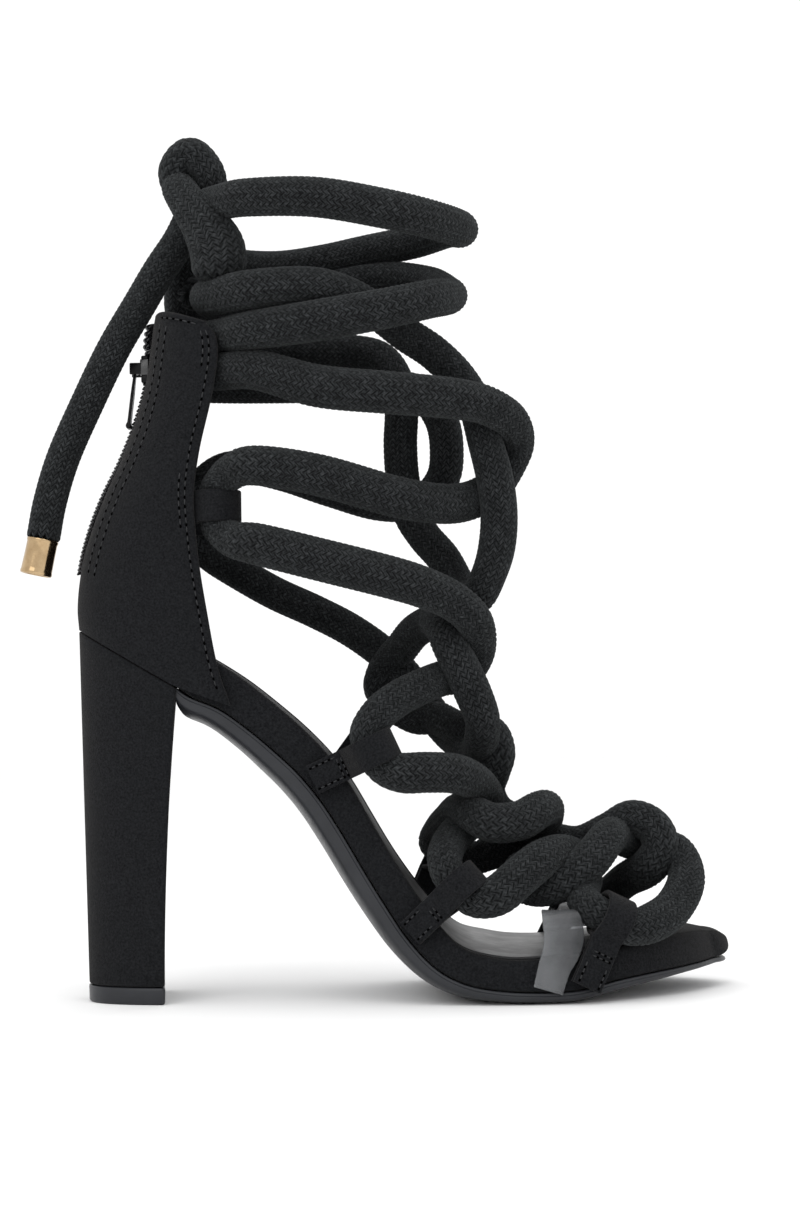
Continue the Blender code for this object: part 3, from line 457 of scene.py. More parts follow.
heel_rings = [heel_ring(0.0, 0.0, 0.5), heel_ring(0.0, 0.15, 0.2), heel_ring(0.0, 0.5, 0.0)]
heel_rings += [heel_ring(share, 0.0, 0.0) for share in np.linspace(0.04, 0.96, 22)]
heel_rings += [heel_ring(1.0, -0.6, 0.0), heel_ring(1.0, -0.15, 0.2), heel_ring(1.0, 0.0, 0.6)]
add_solid("heel_cover", [heel_rings], suede, ["heel_block"], sharp=50)

# Heel lift: a pad of harder dark rubber, pinned under the block.
# Its side stands a little proud of the suede, and its lower rim is rounded by wear.
LIFT_PROFILE = ((0.0, 0.7), (0.2, 0.25), (0.6, 0.0), (4.2, -0.12), (4.75, -0.05), (HEEL_LIFT_HEIGHT, 0.25))
lift_rings = []
for height, inset in LIFT_PROFILE:
    lift_rings.append([(x, y, height) for x, y in heel_outline(**HEEL_AT_FLOOR, inset=inset)])
add_solid("heel_top_piece", [lift_rings], rubber, ["heel_lift"], sharp=50)

# Counter: two pieces of lined suede, seamed up the centre back and left open above for the zip.
# They stand around the heel; the lower edge is lasted under the seat and runs forward down over the platform.
COUNTER_WALL = 2.0
COUNTER_EDGE = 0.6
COUNTER_EDGE_BULGE = 0.45
COUNTER_SEAM_HALF_WIDTH = 0.12
COUNTER_LOWER_SLOPE = 0.37
ZIP_SLIT_HALF_WIDTH = 3.4
ZIP_BOTTOM = 128.0
FAR_FRONT_SETBACK = 10.8
# Rows from the lower edge up: x and z of the centre back, x and z of the front edge, half-width
COUNTER_ROWS = [
    (-14.6, 112.3, 32.4, 87.4, 25.4), (-15.0, 117.5, 29.8, 95.0, 25.6), (-14.4, 125.0, 27.9, 103.0, 26.0),
    (-12.7, 134.0, 26.1, 114.0, 27.0), (-9.5, 143.5, 24.2, 127.0, 28.4), (-5.5, 153.0, 23.0, 140.0, 29.4),
    (-0.8, 163.0, 22.7, 150.0, 29.4), (4.0, 176.0, 24.5, 163.0, 28.6), (6.7, 186.0, 28.0, 178.0, 27.8),
    (8.2, 196.0, 30.0, 190.0, 27.4), (9.2, 203.0, 29.4, 197.0, 27.0), (9.8, 206.0, 26.5, 200.6, 26.6),
]
ROW_PIECES = 8
counter_fine = smooth_rows(COUNTER_ROWS, ROW_PIECES)
COUNTER_TOP = len(COUNTER_ROWS) - 1


# The counter's row at a height counted in rows
def counter_row(level):
    place = min(max(level * ROW_PIECES, 0), len(counter_fine) - 1)
    low = min(int(place), len(counter_fine) - 2)
    return counter_fine[low] + (place - low) * (counter_fine[low + 1] - counter_fine[low])


# Height between the centre back and the front edge; the far front edge lies further back
def counter_height(row, forward, far):
    back_x, back_z, front_x, front_z, half = row
    if far:
        front_z += FAR_FRONT_SETBACK * (back_z - front_z) / (front_x - back_x)
    return back_z + (front_z - back_z) * forward


# A point of the wall: turn runs from the centre back to 90 at the front edge, negative on the near side
def counter_point(level, turn, inset):
    row = counter_row(level)
    back_x, back_z, front_x, front_z, half = row
    forward, side = round_back(turn)
    if turn > 0:
        front_x -= FAR_FRONT_SETBACK
    x = back_x + inset + (front_x - back_x - inset) * forward
    y = (half - inset) * side
    z = counter_height(row, forward, turn > 0)
    if level < 1:
        breast = HEEL_AT_SEAT["breast"]
        lower = seat_height(min(x, breast)) - COUNTER_LOWER_SLOPE * max(x - breast, 0.0)
        z = (1 - level) * lower + level * counter_height(np.array(COUNTER_ROWS[1]), forward, turn > 0)
    return np.array((x, y, z))


# Half the opening at the centre back: a closed seam below the zip, a round foot, then the zip's slit
def slit_half_width(level):
    above = counter_row(level)[1] - ZIP_BOTTOM + 1.2
    return max(COUNTER_SEAM_HALF_WIDTH, ZIP_SLIT_HALF_WIDTH * math.sqrt(ramp(above, 0.0, 4.0)))


# The turn at a distance to the side of the centre back
def turn_at_side(level, y):
    return math.degrees(math.asin((y / counter_row(level)[4]) ** (1 / HEEL_ROUNDNESS)))


# The wall's outline at a level: outer face, front edge, inner face and back edge
def counter_ring(level, side, thin, lift):
    start = turn_at_side(level, slit_half_width(level))
    turns = [side * (start + (90 - start) * (i / 29) ** 1.2) for i in range(30)]
    middle = COUNTER_WALL / 2
    outer = [counter_point(level, turn, thin) for turn in turns]
    inner = [counter_point(level, turn, COUNTER_WALL - thin) for turn in reversed(turns)]
    edge = COUNTER_EDGE * (1 - thin)
    front = []
    for inset, push in ((middle - edge, 0.8), (middle, 1.0), (middle + edge, 0.8)):
        front.append(counter_point(level, side * 90, inset) + (COUNTER_EDGE_BULGE * push, 0, 0))
    back = [counter_point(level, side * start, middle)]
    return [point + (0, 0, lift) for point in outer + front + inner + back]


for label, side in (("near", -1), ("far", 1)):
    rings = [counter_ring(level, side, 0.0, 0.0) for level in np.linspace(0, COUNTER_TOP, 89)]
    for thin, lift in ((0.25, 0.35), (0.6, 0.6), (0.9, 0.7)):
        rings.append(counter_ring(COUNTER_TOP, side, thin, lift))
    add_solid(f"counter_{label}_shell", [rings], suede, ["counter"], sharp=60)

# Stitching: black waxed thread on the counter, two rows beside the zip, one along the top edge and the front
# edge, and second short rows at the front corner and at the tab.
# Each stitch dips into a needle hole at both ends.
ZIP_SEAMS = (3.7, 5.9)
EDGE_SEAM = 2.1
SECOND_SEAM = 3.9
TOP_SEAM_END = 14.5
STITCH_LENGTH = 1.75
STITCH_PITCH = 2.7
STITCH_RADIUS = 0.24
STITCH_RISE = 0.14
STITCH_LIFT = 0.1
HOLE_RADIUS = 0.47
# Along a stitch: place, fullness and height
STITCH_PROFILE = ((0.0, 0.25, -0.9), (0.15, 0.8, 0.0), (0.5, 1.0, 0.5), (0.85, 0.8, 0.0), (1.0, 0.25, -0.9))
thread, thread_shader = new_material("waxed_thread", 0.55, 0.2)
paint(thread, thread_shader, 1800, (0.012, 0.0125, 0.0135), (0.036, 0.037, 0.039))
add_bump(thread, thread_shader, use_grain(thread, 7000), 0.00005, 0.4)
# Needle holes: near-black bodies on the surface between the stitches, painted shade of the holes
painted_hole_shade, needle_shader = new_material("needle_hole_painted_shade", 1.0, 0.0)
paint(painted_hole_shade, needle_shader, 3000, (0.0005, 0.0005, 0.0005), (0.0012, 0.0012, 0.0012))


def unit(vector):
    return vector / np.linalg.norm(vector)


# Points around a centre, in the plane of two directions
def circle(centre, reach, across, other, count):
    turns = np.arange(count) * 2 * math.pi / count
    return centre + reach * (np.outer(np.cos(turns), across) + np.outer(np.sin(turns), other))


# The distance along a line at each of its points
def distances(points):
    return np.concatenate([[0.0], np.cumsum(np.linalg.norm(np.diff(points, axis=0), axis=1))])


# A round body along a short line, thick in the middle and pointed at its ends
def spindle(start, end, normal, radius, rise):
    across = np.cross(normal, unit(end - start))
    rings = []
    for share, full, up in STITCH_PROFILE:
        centre = start + (end - start) * share + normal * (rise * up)
        rings.append(circle(centre, radius * full, across, normal, 7))
    return rings


# Stitches, and dark bodies of painted shade in the needle holes, along a line of surface points with their
# normals
def sew(points, normals, pitch=STITCH_PITCH, length=STITCH_LENGTH):
    points, normals = np.asarray(points), np.asarray(normals)
    along = distances(points)

    def place(goal):
        spot = np.array([np.interp(goal, along, points[:, k]) for k in range(3)])
        facing = np.array([np.interp(goal, along, normals[:, k]) for k in range(3)])
        return spot, unit(facing)

    stitches, holes = [], []
    for i in range(int(along[-1] / pitch)):
        start, normal = place(i * pitch + (pitch - length) / 2)
        end, normal = place(i * pitch + (pitch + length) / 2)
        lift = normal * STITCH_LIFT
        stitches.append(spindle(start + lift, end + lift, normal, STITCH_RADIUS, STITCH_RISE))
        spot, facing = place(i * pitch)
        reach = unit(end - start) * HOLE_RADIUS
        holes.append(spindle(spot - reach, spot + reach, facing, HOLE_RADIUS * 0.75, 0.0))
    return stitches, holes


# A seam's points on the counter's outer face, with their normals
def counter_seam(levels, turns):
    points, normals = [], []
    for level, turn in zip(levels, turns):
        point = counter_point(level, turn, 0.0)
        above = counter_point(min(level + 0.05, COUNTER_TOP), turn, 0.0)
        below = counter_point(max(level - 0.05, 0), turn, 0.0)
        on = counter_point(level, turn + 0.5, 0.0) - counter_point(level, turn - 0.5, 0.0)
        normal = unit(np.cross(on, above - below))
        points.append(point)
        normals.append(normal if np.dot(normal, point - (12, 0, point[2])) > 0 else -normal)
    return points, normals


# The turn at a distance forward of the centre back, or back of the front edge
def turn_forward(level, distance, setback):
    row = counter_row(level)
    share = min(max(1 - distance / (row[2] - setback - row[0]), 0.0), 1.0)
    return math.degrees(math.acos(share ** (1 / HEEL_ROUNDNESS)))


for label, side in (("near", -1), ("far", 1)):
    setback = FAR_FRONT_SETBACK if side > 0 else 0.0
    stitches, holes, seams = [], [], []
    zip_levels = np.linspace(2.6, COUNTER_TOP - 0.5, 80)
    for distance in ZIP_SEAMS:
        seams.append((zip_levels, [side * turn_forward(level, distance, setback) for level in zip_levels]))
    front_levels = np.linspace(0.55, COUNTER_TOP - 0.6, 110)
    corner_levels = np.linspace(COUNTER_TOP - 2.3, COUNTER_TOP - 0.7, 40)
    tab_levels = np.linspace(4.85, 6.35, 40)
    edge_runs = ((front_levels, EDGE_SEAM), (corner_levels, SECOND_SEAM), (tab_levels, SECOND_SEAM))
    for levels, distance in edge_runs:
        turns = []
        for level in levels:
            row = counter_row(level)
            turns.append(side * turn_forward(level, row[2] - setback - row[0] - distance, setback))
        seams.append((levels, turns))
    top_reach = (ZIP_SEAMS[0], TOP_SEAM_END - setback)
    top_ends = [turn_forward(COUNTER_TOP, distance, setback) for distance in top_reach]
    seams.append((np.full(40, COUNTER_TOP - 0.5), side * np.linspace(*top_ends, 40)))
    for levels, turns in seams:
        more_stitches, more_holes = sew(*counter_seam(levels, turns))
        stitches += more_stitches
        holes += more_holes
    add_solid(f"counter_{label}_stitches", stitches, thread)
    add_solid(f"counter_{label}_needle_hole_painted_shades", holes, painted_hole_shade)

# Zip: a woven nylon tape sewn behind the slit, with a closed coil of nylon wire running up its middle.
# Above the slider it is open: the tape bows out behind the counter and the two halves of the coil part.
ZIP_TOP = 204.5
TAPE_HALF = 4.9
TAPE_NARROWING = 1.8
TAPE_BOW = 2.3
COIL_TOP = 195.5
COIL_PITCH = 1.35
COIL_WIRE = 0.38
COIL_FOOT = 1.0
COIL_STAND = 0.5
COIL_BULGE = 0.9
COIL_BULGE_HEIGHT = 152.0
COIL_BULGE_SPREAD = 17.0
# Half-depth and half-width of a turn, and its distance from the zip's middle
COIL_TURN = (0.8, 1.05, 0.65)
OPEN_PITCH = 2.0
OPEN_WIRE = 0.72
OPEN_TURN = (1.05, 1.1, 0.75)
OPEN_SPREAD = 0.95
OPEN_TILT = 0.25
OPEN_BOW = 1.1
tape, tape_shader = new_material("zip_tape", 0.8, 0.2)
paint(tape, tape_shader, 900, (0.003, 0.003, 0.0035), (0.007, 0.007, 0.008))
weave = tape.node_tree.nodes.new("ShaderNodeTexWave")
weave.bands_direction = "Z"
weave.inputs["Scale"].default_value = 260.0
weave_place = tape.node_tree.nodes.new("ShaderNodeTexCoord")
tape.node_tree.links.new(weave_place.outputs["Object"], weave.inputs["Vector"])
add_bump(tape, tape_shader, weave.outputs["Fac"], 0.00015, 0.6)
coil_nylon, coil_shader = new_material("coil_nylon", 0.22, 0.5)
paint(coil_nylon, coil_shader, 500, (0.006, 0.006, 0.007), (0.012, 0.012, 0.013))


# The counter's centre back at a height
def back_place(z):
    return float(np.interp(z, counter_fine[:, 1], counter_fine[:, 0]))


# How far the zip is open at a height, from 0 to 1
def zip_opening(z):
    share = ramp(z, 195.0, 199.5)
    return share * share * (3 - 2 * share)


tape_rings = []
for z in np.linspace(ZIP_BOTTOM + GAP, ZIP_TOP, 60):
    tape_half = TAPE_HALF - TAPE_NARROWING * zip_opening(z)
    profile = round_box(-tape_half, tape_half, 1.0, 1.75, 0.2, 0.2)
    tape_rings.append([(back_place(z) - TAPE_BOW * zip_opening(z) + depth, y, z) for y, depth in profile])
add_solid("zip_tape", [tape_rings], tape, ["zip_chain"], sharp=50)


# The direction of a line at each of its points
def directions(line):
    ways = np.gradient(line, axis=0)
    return ways / np.linalg.norm(ways, axis=1)[:, None]


# Two directions square to each way, carried along the line without a twist
def carried_axes(ways, across):
    axes = []
    for way in ways:
        across = unit(across - way * np.dot(across, way))
        axes.append((across, np.cross(way, across)))
    return axes


# A tube of even thickness along a line
def wire_rings(line, radius, sides):
    line = np.asarray(line, float)
    axes = carried_axes(directions(line), np.array((0.31, 0.83, 0.46)))
    return [circle(place, radius, across, other, sides) for place, (across, other) in zip(line, axes)]


# The coil stands out most where the counter's back is bent outwards
def coil_bulge(z):
    return COIL_STAND + COIL_BULGE * math.exp(-((z - COIL_BULGE_HEIGHT) / COIL_BULGE_SPREAD) ** 2)


coil_turns = (COIL_TOP - ZIP_BOTTOM - COIL_FOOT) / COIL_PITCH
coils = []
for side in (-1, 1):
    depth, width, aside = COIL_TURN
    line = []
    for t in np.linspace(0, coil_turns, int(coil_turns * 14)):
        z = ZIP_BOTTOM + COIL_FOOT + (t + 0.25 * side) * COIL_PITCH
        turn = 2 * math.pi * t
        middle = back_place(z) - coil_bulge(z)
        line.append((middle - depth * math.cos(turn), side * aside + width * math.sin(turn), z))
    coils.append(wire_rings(line, COIL_WIRE, 7))
for side in (-1, 1):
    depth, width, aside = OPEN_TURN
    for z in np.arange(COIL_TOP + 0.9, ZIP_TOP, OPEN_PITCH):
        middle = back_place(z) - OPEN_BOW * zip_opening(z) - COIL_STAND
        place = (aside + OPEN_SPREAD * zip_opening(z)) * side
        line = []
        for turn in np.linspace(0, 2 * math.pi, 13):
            back = math.cos(turn)
            line.append((middle - depth * back, place + width * math.sin(turn), z - OPEN_TILT * back))
        coils.append(wire_rings(line, OPEN_WIRE, 9))
add_solid("zip_coil", coils, coil_nylon)

# Zip slider: a small die-cast body in black lacquer that runs over the coil.
# Two cheeks in black enamel stand on it and carry the pull's pin.
PULL_HINGE = (2.9, 0.0, 191.5)
PIN_RADIUS = 0.6
PIN_HALF_LENGTH = 3.2
lacquer, lacquer_shader = new_material("black_lacquer", 0.3, 0.9)
paint(lacquer, lacquer_shader, 300, (0.008, 0.008, 0.009), (0.016, 0.016, 0.018))
vary_roughness(lacquer, lacquer_shader, 900, 0.22, 0.34)
enamel, enamel_shader = new_material("black_enamel", 0.3, 0.16)
paint(enamel, enamel_shader, 300, (0.003, 0.003, 0.0035), (0.008, 0.008, 0.009))
vary_roughness(enamel, enamel_shader, 900, 0.24, 0.4)


# A block with all its edges rounded
def soft_block(low, high, radius):
    rings = []
    for end, way, turns in ((low[2], 1, (90, 45, 0)), (high[2], -1, (0, 45, 90))):
        for turn in turns:
            inset = radius * (1 - math.cos(math.radians(turn)))
            z = end + way * radius * (1 - math.sin(math.radians(turn)))
            corner = radius - 0.9 * inset
            sides = (low[0] + inset, high[0] - inset, low[1] + inset, high[1] - inset)
            rings.append([(x, y, z) for x, y in round_box(*sides, corner, corner)])
    return rings


slider = [soft_block((4.6, -3.35, 189.3), (7.4, 3.35, 194.3), 0.4)]
add_solid("zip_slider_body", slider, lacquer, ["zip_slider"], sharp=40)
bridge = [
    soft_block((4.9, -3.0, 187.0), (7.2, 3.0, 189.6), 0.5),
    soft_block((4.9, -2.8, 194.0), (7.2, 2.8, 195.5), 0.5),
]
for side in (-1, 1):
    first, last = sorted((side * 2.5, side * 3.3))
    low = (PULL_HINGE[0] - 1.5, first, PULL_HINGE[2] - 1.9)
    bridge.append(soft_block(low, (5.2, last, PULL_HINGE[2] + 1.7), 0.35))
pin_line = [(PULL_HINGE[0], y, PULL_HINGE[2]) for y in np.linspace(-PIN_HALF_LENGTH, PIN_HALF_LENGTH, 8)]
bridge.append(wire_rings(pin_line, PIN_RADIUS, 14))
add_solid("zip_slider_bridge", bridge, enamel, ["zip_slider"], sharp=40)

# Zip pull: a slim pressed tab in black enamel, with an eye around the pin and a lipped lower end.
# It hangs from the pin, leaning a little away from the zip, and swings on it.
PULL_LEAN = 7.0
PULL_EYE_RADIUS = 1.28
# Along the bar: height from the pin, half-width and half-thickness
PULL_BAR = [
    (-1.25, 1.2, 0.42), (-3.5, 1.3, 0.42), (-5.0, 1.7, 0.42), (-8.0, 2.0, 0.45), (-15.5, 2.1, 0.45),
    (-16.6, 2.15, 0.5), (-17.2, 2.2, 0.78), (-17.9, 2.2, 0.8), (-18.3, 2.0, 0.6), (-18.5, 1.6, 0.3),
]
pull_turn = Matrix.Rotation(math.radians(PULL_LEAN), 4, "Y")


# Rings around the pin at the origin, moved to the pin's place and leant
def hang_pull(rings):
    flat = [pull_turn @ Vector(point) + Vector(PULL_HINGE) for point in np.asarray(rings).reshape(-1, 3)]
    return np.array([tuple(point) for point in flat]).reshape(np.asarray(rings).shape)


eye_section = round_box(-2.0, 2.0, -0.3, 0.34, 0.2, 0.25)
eye_rings = []
for turn in np.linspace(0, 2 * math.pi, 29):
    way = np.array((math.cos(turn), 0.0, math.sin(turn)))
    eye_rings.append([way * (PULL_EYE_RADIUS + out) + (0, y, 0) for y, out in eye_section])
bar_rings = []
for z, half, thick in PULL_BAR:
    bar_rings.append([(x, y, z) for y, x in round_box(-half, half, -thick, thick, 0.28, 0.28)])
pull_bodies = [hang_pull(eye_rings), hang_pull(bar_rings)]
add_solid("zip_pull_tab", pull_bodies, enamel, ["zip_pull"], body="pull", sharp=40)

# Loop tabs: strips of folded suede that hold the rope; both legs lie together and are sewn to the shoe at the
# foot. The lower ones are sewn along both edges and across, where they leave the platform.
TAB_THICKNESS = 1.4
TAB_LEG_GAP = 0.05
TAB_FOOT_MARGIN = 1.0
TAB_SEAM_INSET = 1.3
TAB_SEAM_LENGTH = 8.0
TAB_SECOND_ROW = 1.3
TAB_STITCH_PITCH = 2.0
TAB_STITCH_LENGTH = 1.4
TAB_LOOP_RADIUS = 5.6
TAB_LOOP_SLACK = 0.6
# Centre of the rope in the loop, way to the foot, turn of the wall, length to the foot, length to where the
# legs meet, width, and how far outside the centre they meet
TABS = [
    {"name": "tab_near_1", "at": (29.0, -22.8, 146.2), "to": (-1.0, 0.0), "turn": 0,
     "length": 9.0, "meet": 6.8, "width": 9.4, "out": 2.0},
    {"name": "tab_near_2", "at": (74.2, -30.0, 73.3), "to": (-0.912, -0.41), "turn": 2,
     "length": 19.6, "meet": 8.5, "width": 9.0, "out": -4.6},
    {"name": "tab_near_3", "at": (99.0, -31.0, 33.6), "to": (-0.752, -0.658), "turn": 16,
     "length": 19.0, "meet": 8.5, "width": 8.4, "out": 3.8},
    {"name": "tab_near_4", "at": (142.3, -30.4, 23.6), "to": (-0.45, -0.893), "turn": -16,
     "length": 20.6, "meet": 5.8, "width": 9.0, "out": 2.2},
    {"name": "tab_far_1", "at": (18.2, 22.4, 146.2), "to": (-1.0, 0.0), "turn": 0,
     "length": 9.0, "meet": 6.8, "width": 9.4, "out": 1.6},
    {"name": "tab_far_2", "at": (78.2, 29.0, 89.0), "to": (-0.6, -0.8), "turn": 2,
     "length": 28.0, "meet": 18.0, "width": 7.0, "out": -3.4},
    {"name": "tab_far_3", "at": (97.0, 32.0, 40.2), "to": (-0.468, -0.884), "turn": 25,
     "length": 15.2, "meet": 6.6, "width": 8.4, "out": 6.6},
    {"name": "tab_far_4", "at": (136.0, 32.0, 24.4), "to": (-0.45, -0.893), "turn": 0,
     "length": 21.0, "meet": 4.4, "width": 9.0, "out": 11.3},
]


# The tab's own axes: towards its foot, out from the wall, and along the rope
def tab_axes(tab):
    side = math.copysign(1.0, tab["at"][1])
    turn = math.radians(tab["turn"])
    outward = np.array((-math.sin(turn), side * math.cos(turn), 0.0))
    to_foot = np.array((tab["to"][0], 0.0, tab["to"][1]))
    to_foot = unit(to_foot - outward * np.dot(to_foot, outward))
    return to_foot, outward, np.cross(to_foot, outward)


# The strip's middle line: up the inner leg, around the rope and down the outer leg
def tab_line(tab):
    radius = TAB_LOOP_RADIUS + TAB_THICKNESS / 2
    meet = tab["meet"] + TAB_LOOP_SLACK
    facing = math.atan2(tab["out"], meet)
    opening = math.acos(radius / math.hypot(meet, tab["out"]))
    leg = TAB_THICKNESS / 2 + TAB_LEG_GAP
    line = [(a, tab["out"] - leg) for a in np.linspace(tab["length"], tab["meet"], 8)]
    for i in range(37):
        bend = facing - opening - (2 * math.pi - 2 * opening) * i / 36
        line.append((radius * math.cos(bend) - TAB_LOOP_SLACK, radius * math.sin(bend)))
    line += [(a, tab["out"] + leg) for a in np.linspace(tab["meet"], tab["length"], 8)]
    return np.array(line)


# A point of the tab: towards the foot, outwards and along the rope
def tab_place(tab, a, b, w):
    to_foot, outward, along_rope = tab_axes(tab)
    return np.array(tab["at"]) + to_foot * a + outward * b + along_rope * w


tab_stitches, tab_holes = [], []
for tab in TABS:
    line = tab_line(tab)
    half = tab["width"] / 2
    rings = []
    for (a, b), (way_a, way_b) in zip(line, directions(line)):
        ring = []
        for w, up in round_box(-half, half, -TAB_THICKNESS / 2, TAB_THICKNESS / 2, 0.5, 0.5):
            ring.append(tab_place(tab, a - way_b * up, b + way_a * up, w))
        rings.append(ring)
    name = tab["name"].replace("tab", "loop_tab")
    add_solid(name, [rings], suede, [tab["name"]], sharp=60)
    face = tab["out"] + TAB_THICKNESS + TAB_LEG_GAP
    outward = tab_axes(tab)[1]
    foot = tab["length"] - TAB_FOOT_MARGIN
    if tab["name"].endswith("1"):
        runs = [((foot - 0.6, -half + 1.2), (foot - 0.6, half - 1.2))]
    else:
        top = max(tab["meet"] + 1.2, foot - TAB_SEAM_LENGTH)
        edge = half - TAB_SEAM_INSET
        runs = [((foot, w), (top, w)) for w in (-edge, edge)]
        runs += [((a, -edge), (a, edge)) for a in (top, top - TAB_SECOND_ROW)]
    for start, end in runs:
        points = [tab_place(tab, a, face, w) for a, w in np.linspace(start, end, 12)]
        more_stitches, more_holes = sew(points, [outward] * 12, TAB_STITCH_PITCH, TAB_STITCH_LENGTH)
        tab_stitches += more_stitches
        tab_holes += more_holes
add_solid("tab_stitches", tab_stitches, thread)
# The tabs' needle holes are near-black bodies of painted shade
add_solid("tab_needle_hole_painted_shades", tab_holes, painted_hole_shade)

# Toe strap: a band of clear soft vinyl over the toes, with polished cut edges.
# It is glued in at the platform's near side, comes up over the edge and ends at the insole's far edge.
STRAP_THICKNESS = 1.0
# Middle line and half-width of the band, from the near side over the toes
STRAP_LINE = [
    (123.4, -35.1, 4.2, 4.3), (125.5, -35.1, 11.0, 4.7), (127.3, -34.9, 15.0, 5.3), (128.3, -34.3, 18.8, 5.7),
    (128.2, -33.4, 22.4, 5.7), (127.6, -31.8, 25.2, 5.4), (126.9, -28.6, 26.2, 4.6), (126.6, -24, 24.4, 3.5),
    (130.6, -16.0, 22.8, 4.8), (137.0, -6.0, 25.0, 8.5), (139.0, 4.0, 25.8, 9.0), (138.0, 13.0, 22.8, 8.0),
    (135.5, 21.0, 18.6, 6.4), (131.6, 27.5, 17.2, 3.8), (130.7, 33.0, 16.4, 3.2), (130.5, 38.0, 16.2, 3.0),
]
vinyl, vinyl_shader = new_material("clear_vinyl", 0.06, 0.5)
# The haze is the vinyl's own grey; its change from lighter at the back to darker towards the toe is painted
# shade
vinyl_painted_shade = change_along(vinyl, 0.1225, 0.1345, 160, (0.7, 1.0), (0.0, 0.3))
vinyl_colour = mix_colours(vinyl, vinyl_painted_shade, (0.08, 0.083, 0.088), (0.38, 0.39, 0.405))
vinyl.node_tree.links.new(vinyl_colour, vinyl_shader.inputs["Base Color"])
vinyl_shader.inputs["Transmission Weight"].default_value = 0.7
vinyl_shader.inputs["IOR"].default_value = 1.02
vinyl_shader.inputs["Coat Weight"].default_value = 0.3
vinyl_shader.inputs["Coat IOR"].default_value = 1.5
vinyl_shader.inputs["Coat Roughness"].default_value = 0.08
vary_roughness(vinyl, vinyl_shader, 150, 0.02, 0.07)
add_bump(vinyl, vinyl_shader, use_grain(vinyl, 45), 0.0006, 0.04)
strap_fine = smooth_rows(STRAP_LINE, 8)
strap_rings = []
for row, way in zip(strap_fine, directions(strap_fine[:, :3])):
    across = unit(np.array((1.0, 0.0, 0.0)) - way * way[0])
    normal = np.cross(across, way)
    section = round_box(-row[3], row[3], -STRAP_THICKNESS / 2, STRAP_THICKNESS / 2, 0.3, 0.3)
    strap_rings.append([row[:3] + across * u + normal * v for u, v in section])
add_solid("clear_toe_strap", [strap_rings], vinyl, ["toe_strap"], sharp=60)

# Rope: a thick tubular braid of black cotton yarn over a soft core. One length is laced through the tabs from
# the counter to the toe and back, and round the ankle; it is the upper.
# Points are chosen along it, with its fullness.
ROPE_RADIUS = 5.2
BRAID_COLUMNS = 26
BRAID_PITCH = 1.75
BRAID_SLANT = 1.6
BRAID_END_ROUND = 3.4
BRAID_LEAST_FULLNESS = 0.93
# Height and painted shade of the yarn: a column's edge and middle in a gap, then its edge and middle on a
# stitch
YARN_HEIGHTS = (-0.22, -0.36, -0.02, 0.18)
# The shade is painted: near black in the gaps between stitches, darker at a column's edge than in its middle
YARN_PAINTED_SHADES = (0.22, 0.0, 0.74, 0.95)
LACING_NEAR = [
    (16, -12.5, 187.5, 1.05), (30, -18, 187.4, 1.06), (42, -25, 186.4, 1.12), (60, -30.5, 180.5, 1.18),
    (80, -32, 178, 1.18), (98, -27.5, 176.8, 1.15), (109, -21, 175.6, 1.1), (117, -13, 172, 1.05),
    (119.5, -5, 166.5, 1.0), (117, -2.5, 160, 1.0), (112, -4, 153, 1.05), (106, -7, 149, 1.1),
    (99, -13, 147, 1.13), (90, -20, 147, 1.15), (80, -26, 148.6, 1.15), (60, -32, 154, 1.15),
    (42, -33, 157, 1.1), (34.5, -28, 156, 1.0), (29.4, -23.2, 151.5, 0.9),
    (29, -22.8, 146.2, 0.86), (29.4, -23.2, 140.8, 0.9), (34.5, -28, 136, 1.0), (42, -33, 134, 1.15),
    (60, -33, 129.2, 1.18), (80, -30, 124, 1.18), (90, -26, 121, 1.15),
    (99, -20.5, 117, 1.1), (105, -15, 111.5, 1.05), (106.5, -8, 104.5, 1.0), (104, -3.5, 98.5, 1.0),
    (99, -4, 95.5, 1.0), (94.5, -9, 94.5, 1.0), (88.5, -16, 92, 1.0), (82, -22, 88.7, 1.0),
    (76.5, -26.5, 84.5, 1.0), (72.7, -29.3, 79, 0.9), (74.2, -30, 73.3, 0.86), (77.5, -30.6, 68.7, 0.95),
    (83, -31, 67, 1.1),
    (90, -29, 67, 1.12), (98, -24, 66.4, 1.1), (104, -15.5, 63.8, 1.05), (108, -6, 59, 1.0),
    (106.5, 1, 54.5, 1.0), (101, -5, 50, 1.0), (97, -14, 46.5, 1.0), (94.8, -24, 42.3, 0.98),
    (95.5, -29.5, 37.7, 0.9), (99, -31, 33.6, 0.86), (103, -32, 30.2, 0.95),
    (109.5, -32.5, 31.4, 1.1), (116.8, -29, 36.8, 1.1),
    (123, -24, 41, 1.08), (129, -16, 42.5, 1.0), (134, -9, 40.5, 1.0), (136.5, -11, 35, 1.0),
    (135.5, -18, 31.5, 0.95), (135.3, -25, 28.3, 0.9), (138, -29.4, 26.1, 0.88),
    (142.3, -30.4, 23.6, 0.86), (147.4, -30.4, 21.3, 0.95),
    (154.5, -26, 22.2, 1.08), (162, -18, 26, 1.08), (167, -10, 33.5, 1.05), (165.5, -2, 41, 1.0),
    (159, 4, 43, 1.0), (151.5, 3, 44.5, 1.0), (146.5, -4, 47, 1.0), (143, -12, 45.5, 1.05),
    (137.5, -18.5, 40, 1.1), (130, -21, 34.7, 1.1), (123, -17.5, 32, 1.0), (118, -9, 33, 1.0),
    (118.5, 3, 36.5, 1.0), (123, 14, 35.5, 1.0), (127, 23.5, 32, 0.95), (131.2, 30.8, 27.2, 0.88),
    (136, 32, 24.4, 0.86), (141, 31, 23.4, 0.9), (146, 22, 26.6, 0.95), (151, 7, 32.6, 1.0),
    (156.5, -4, 37, 1.08),
]
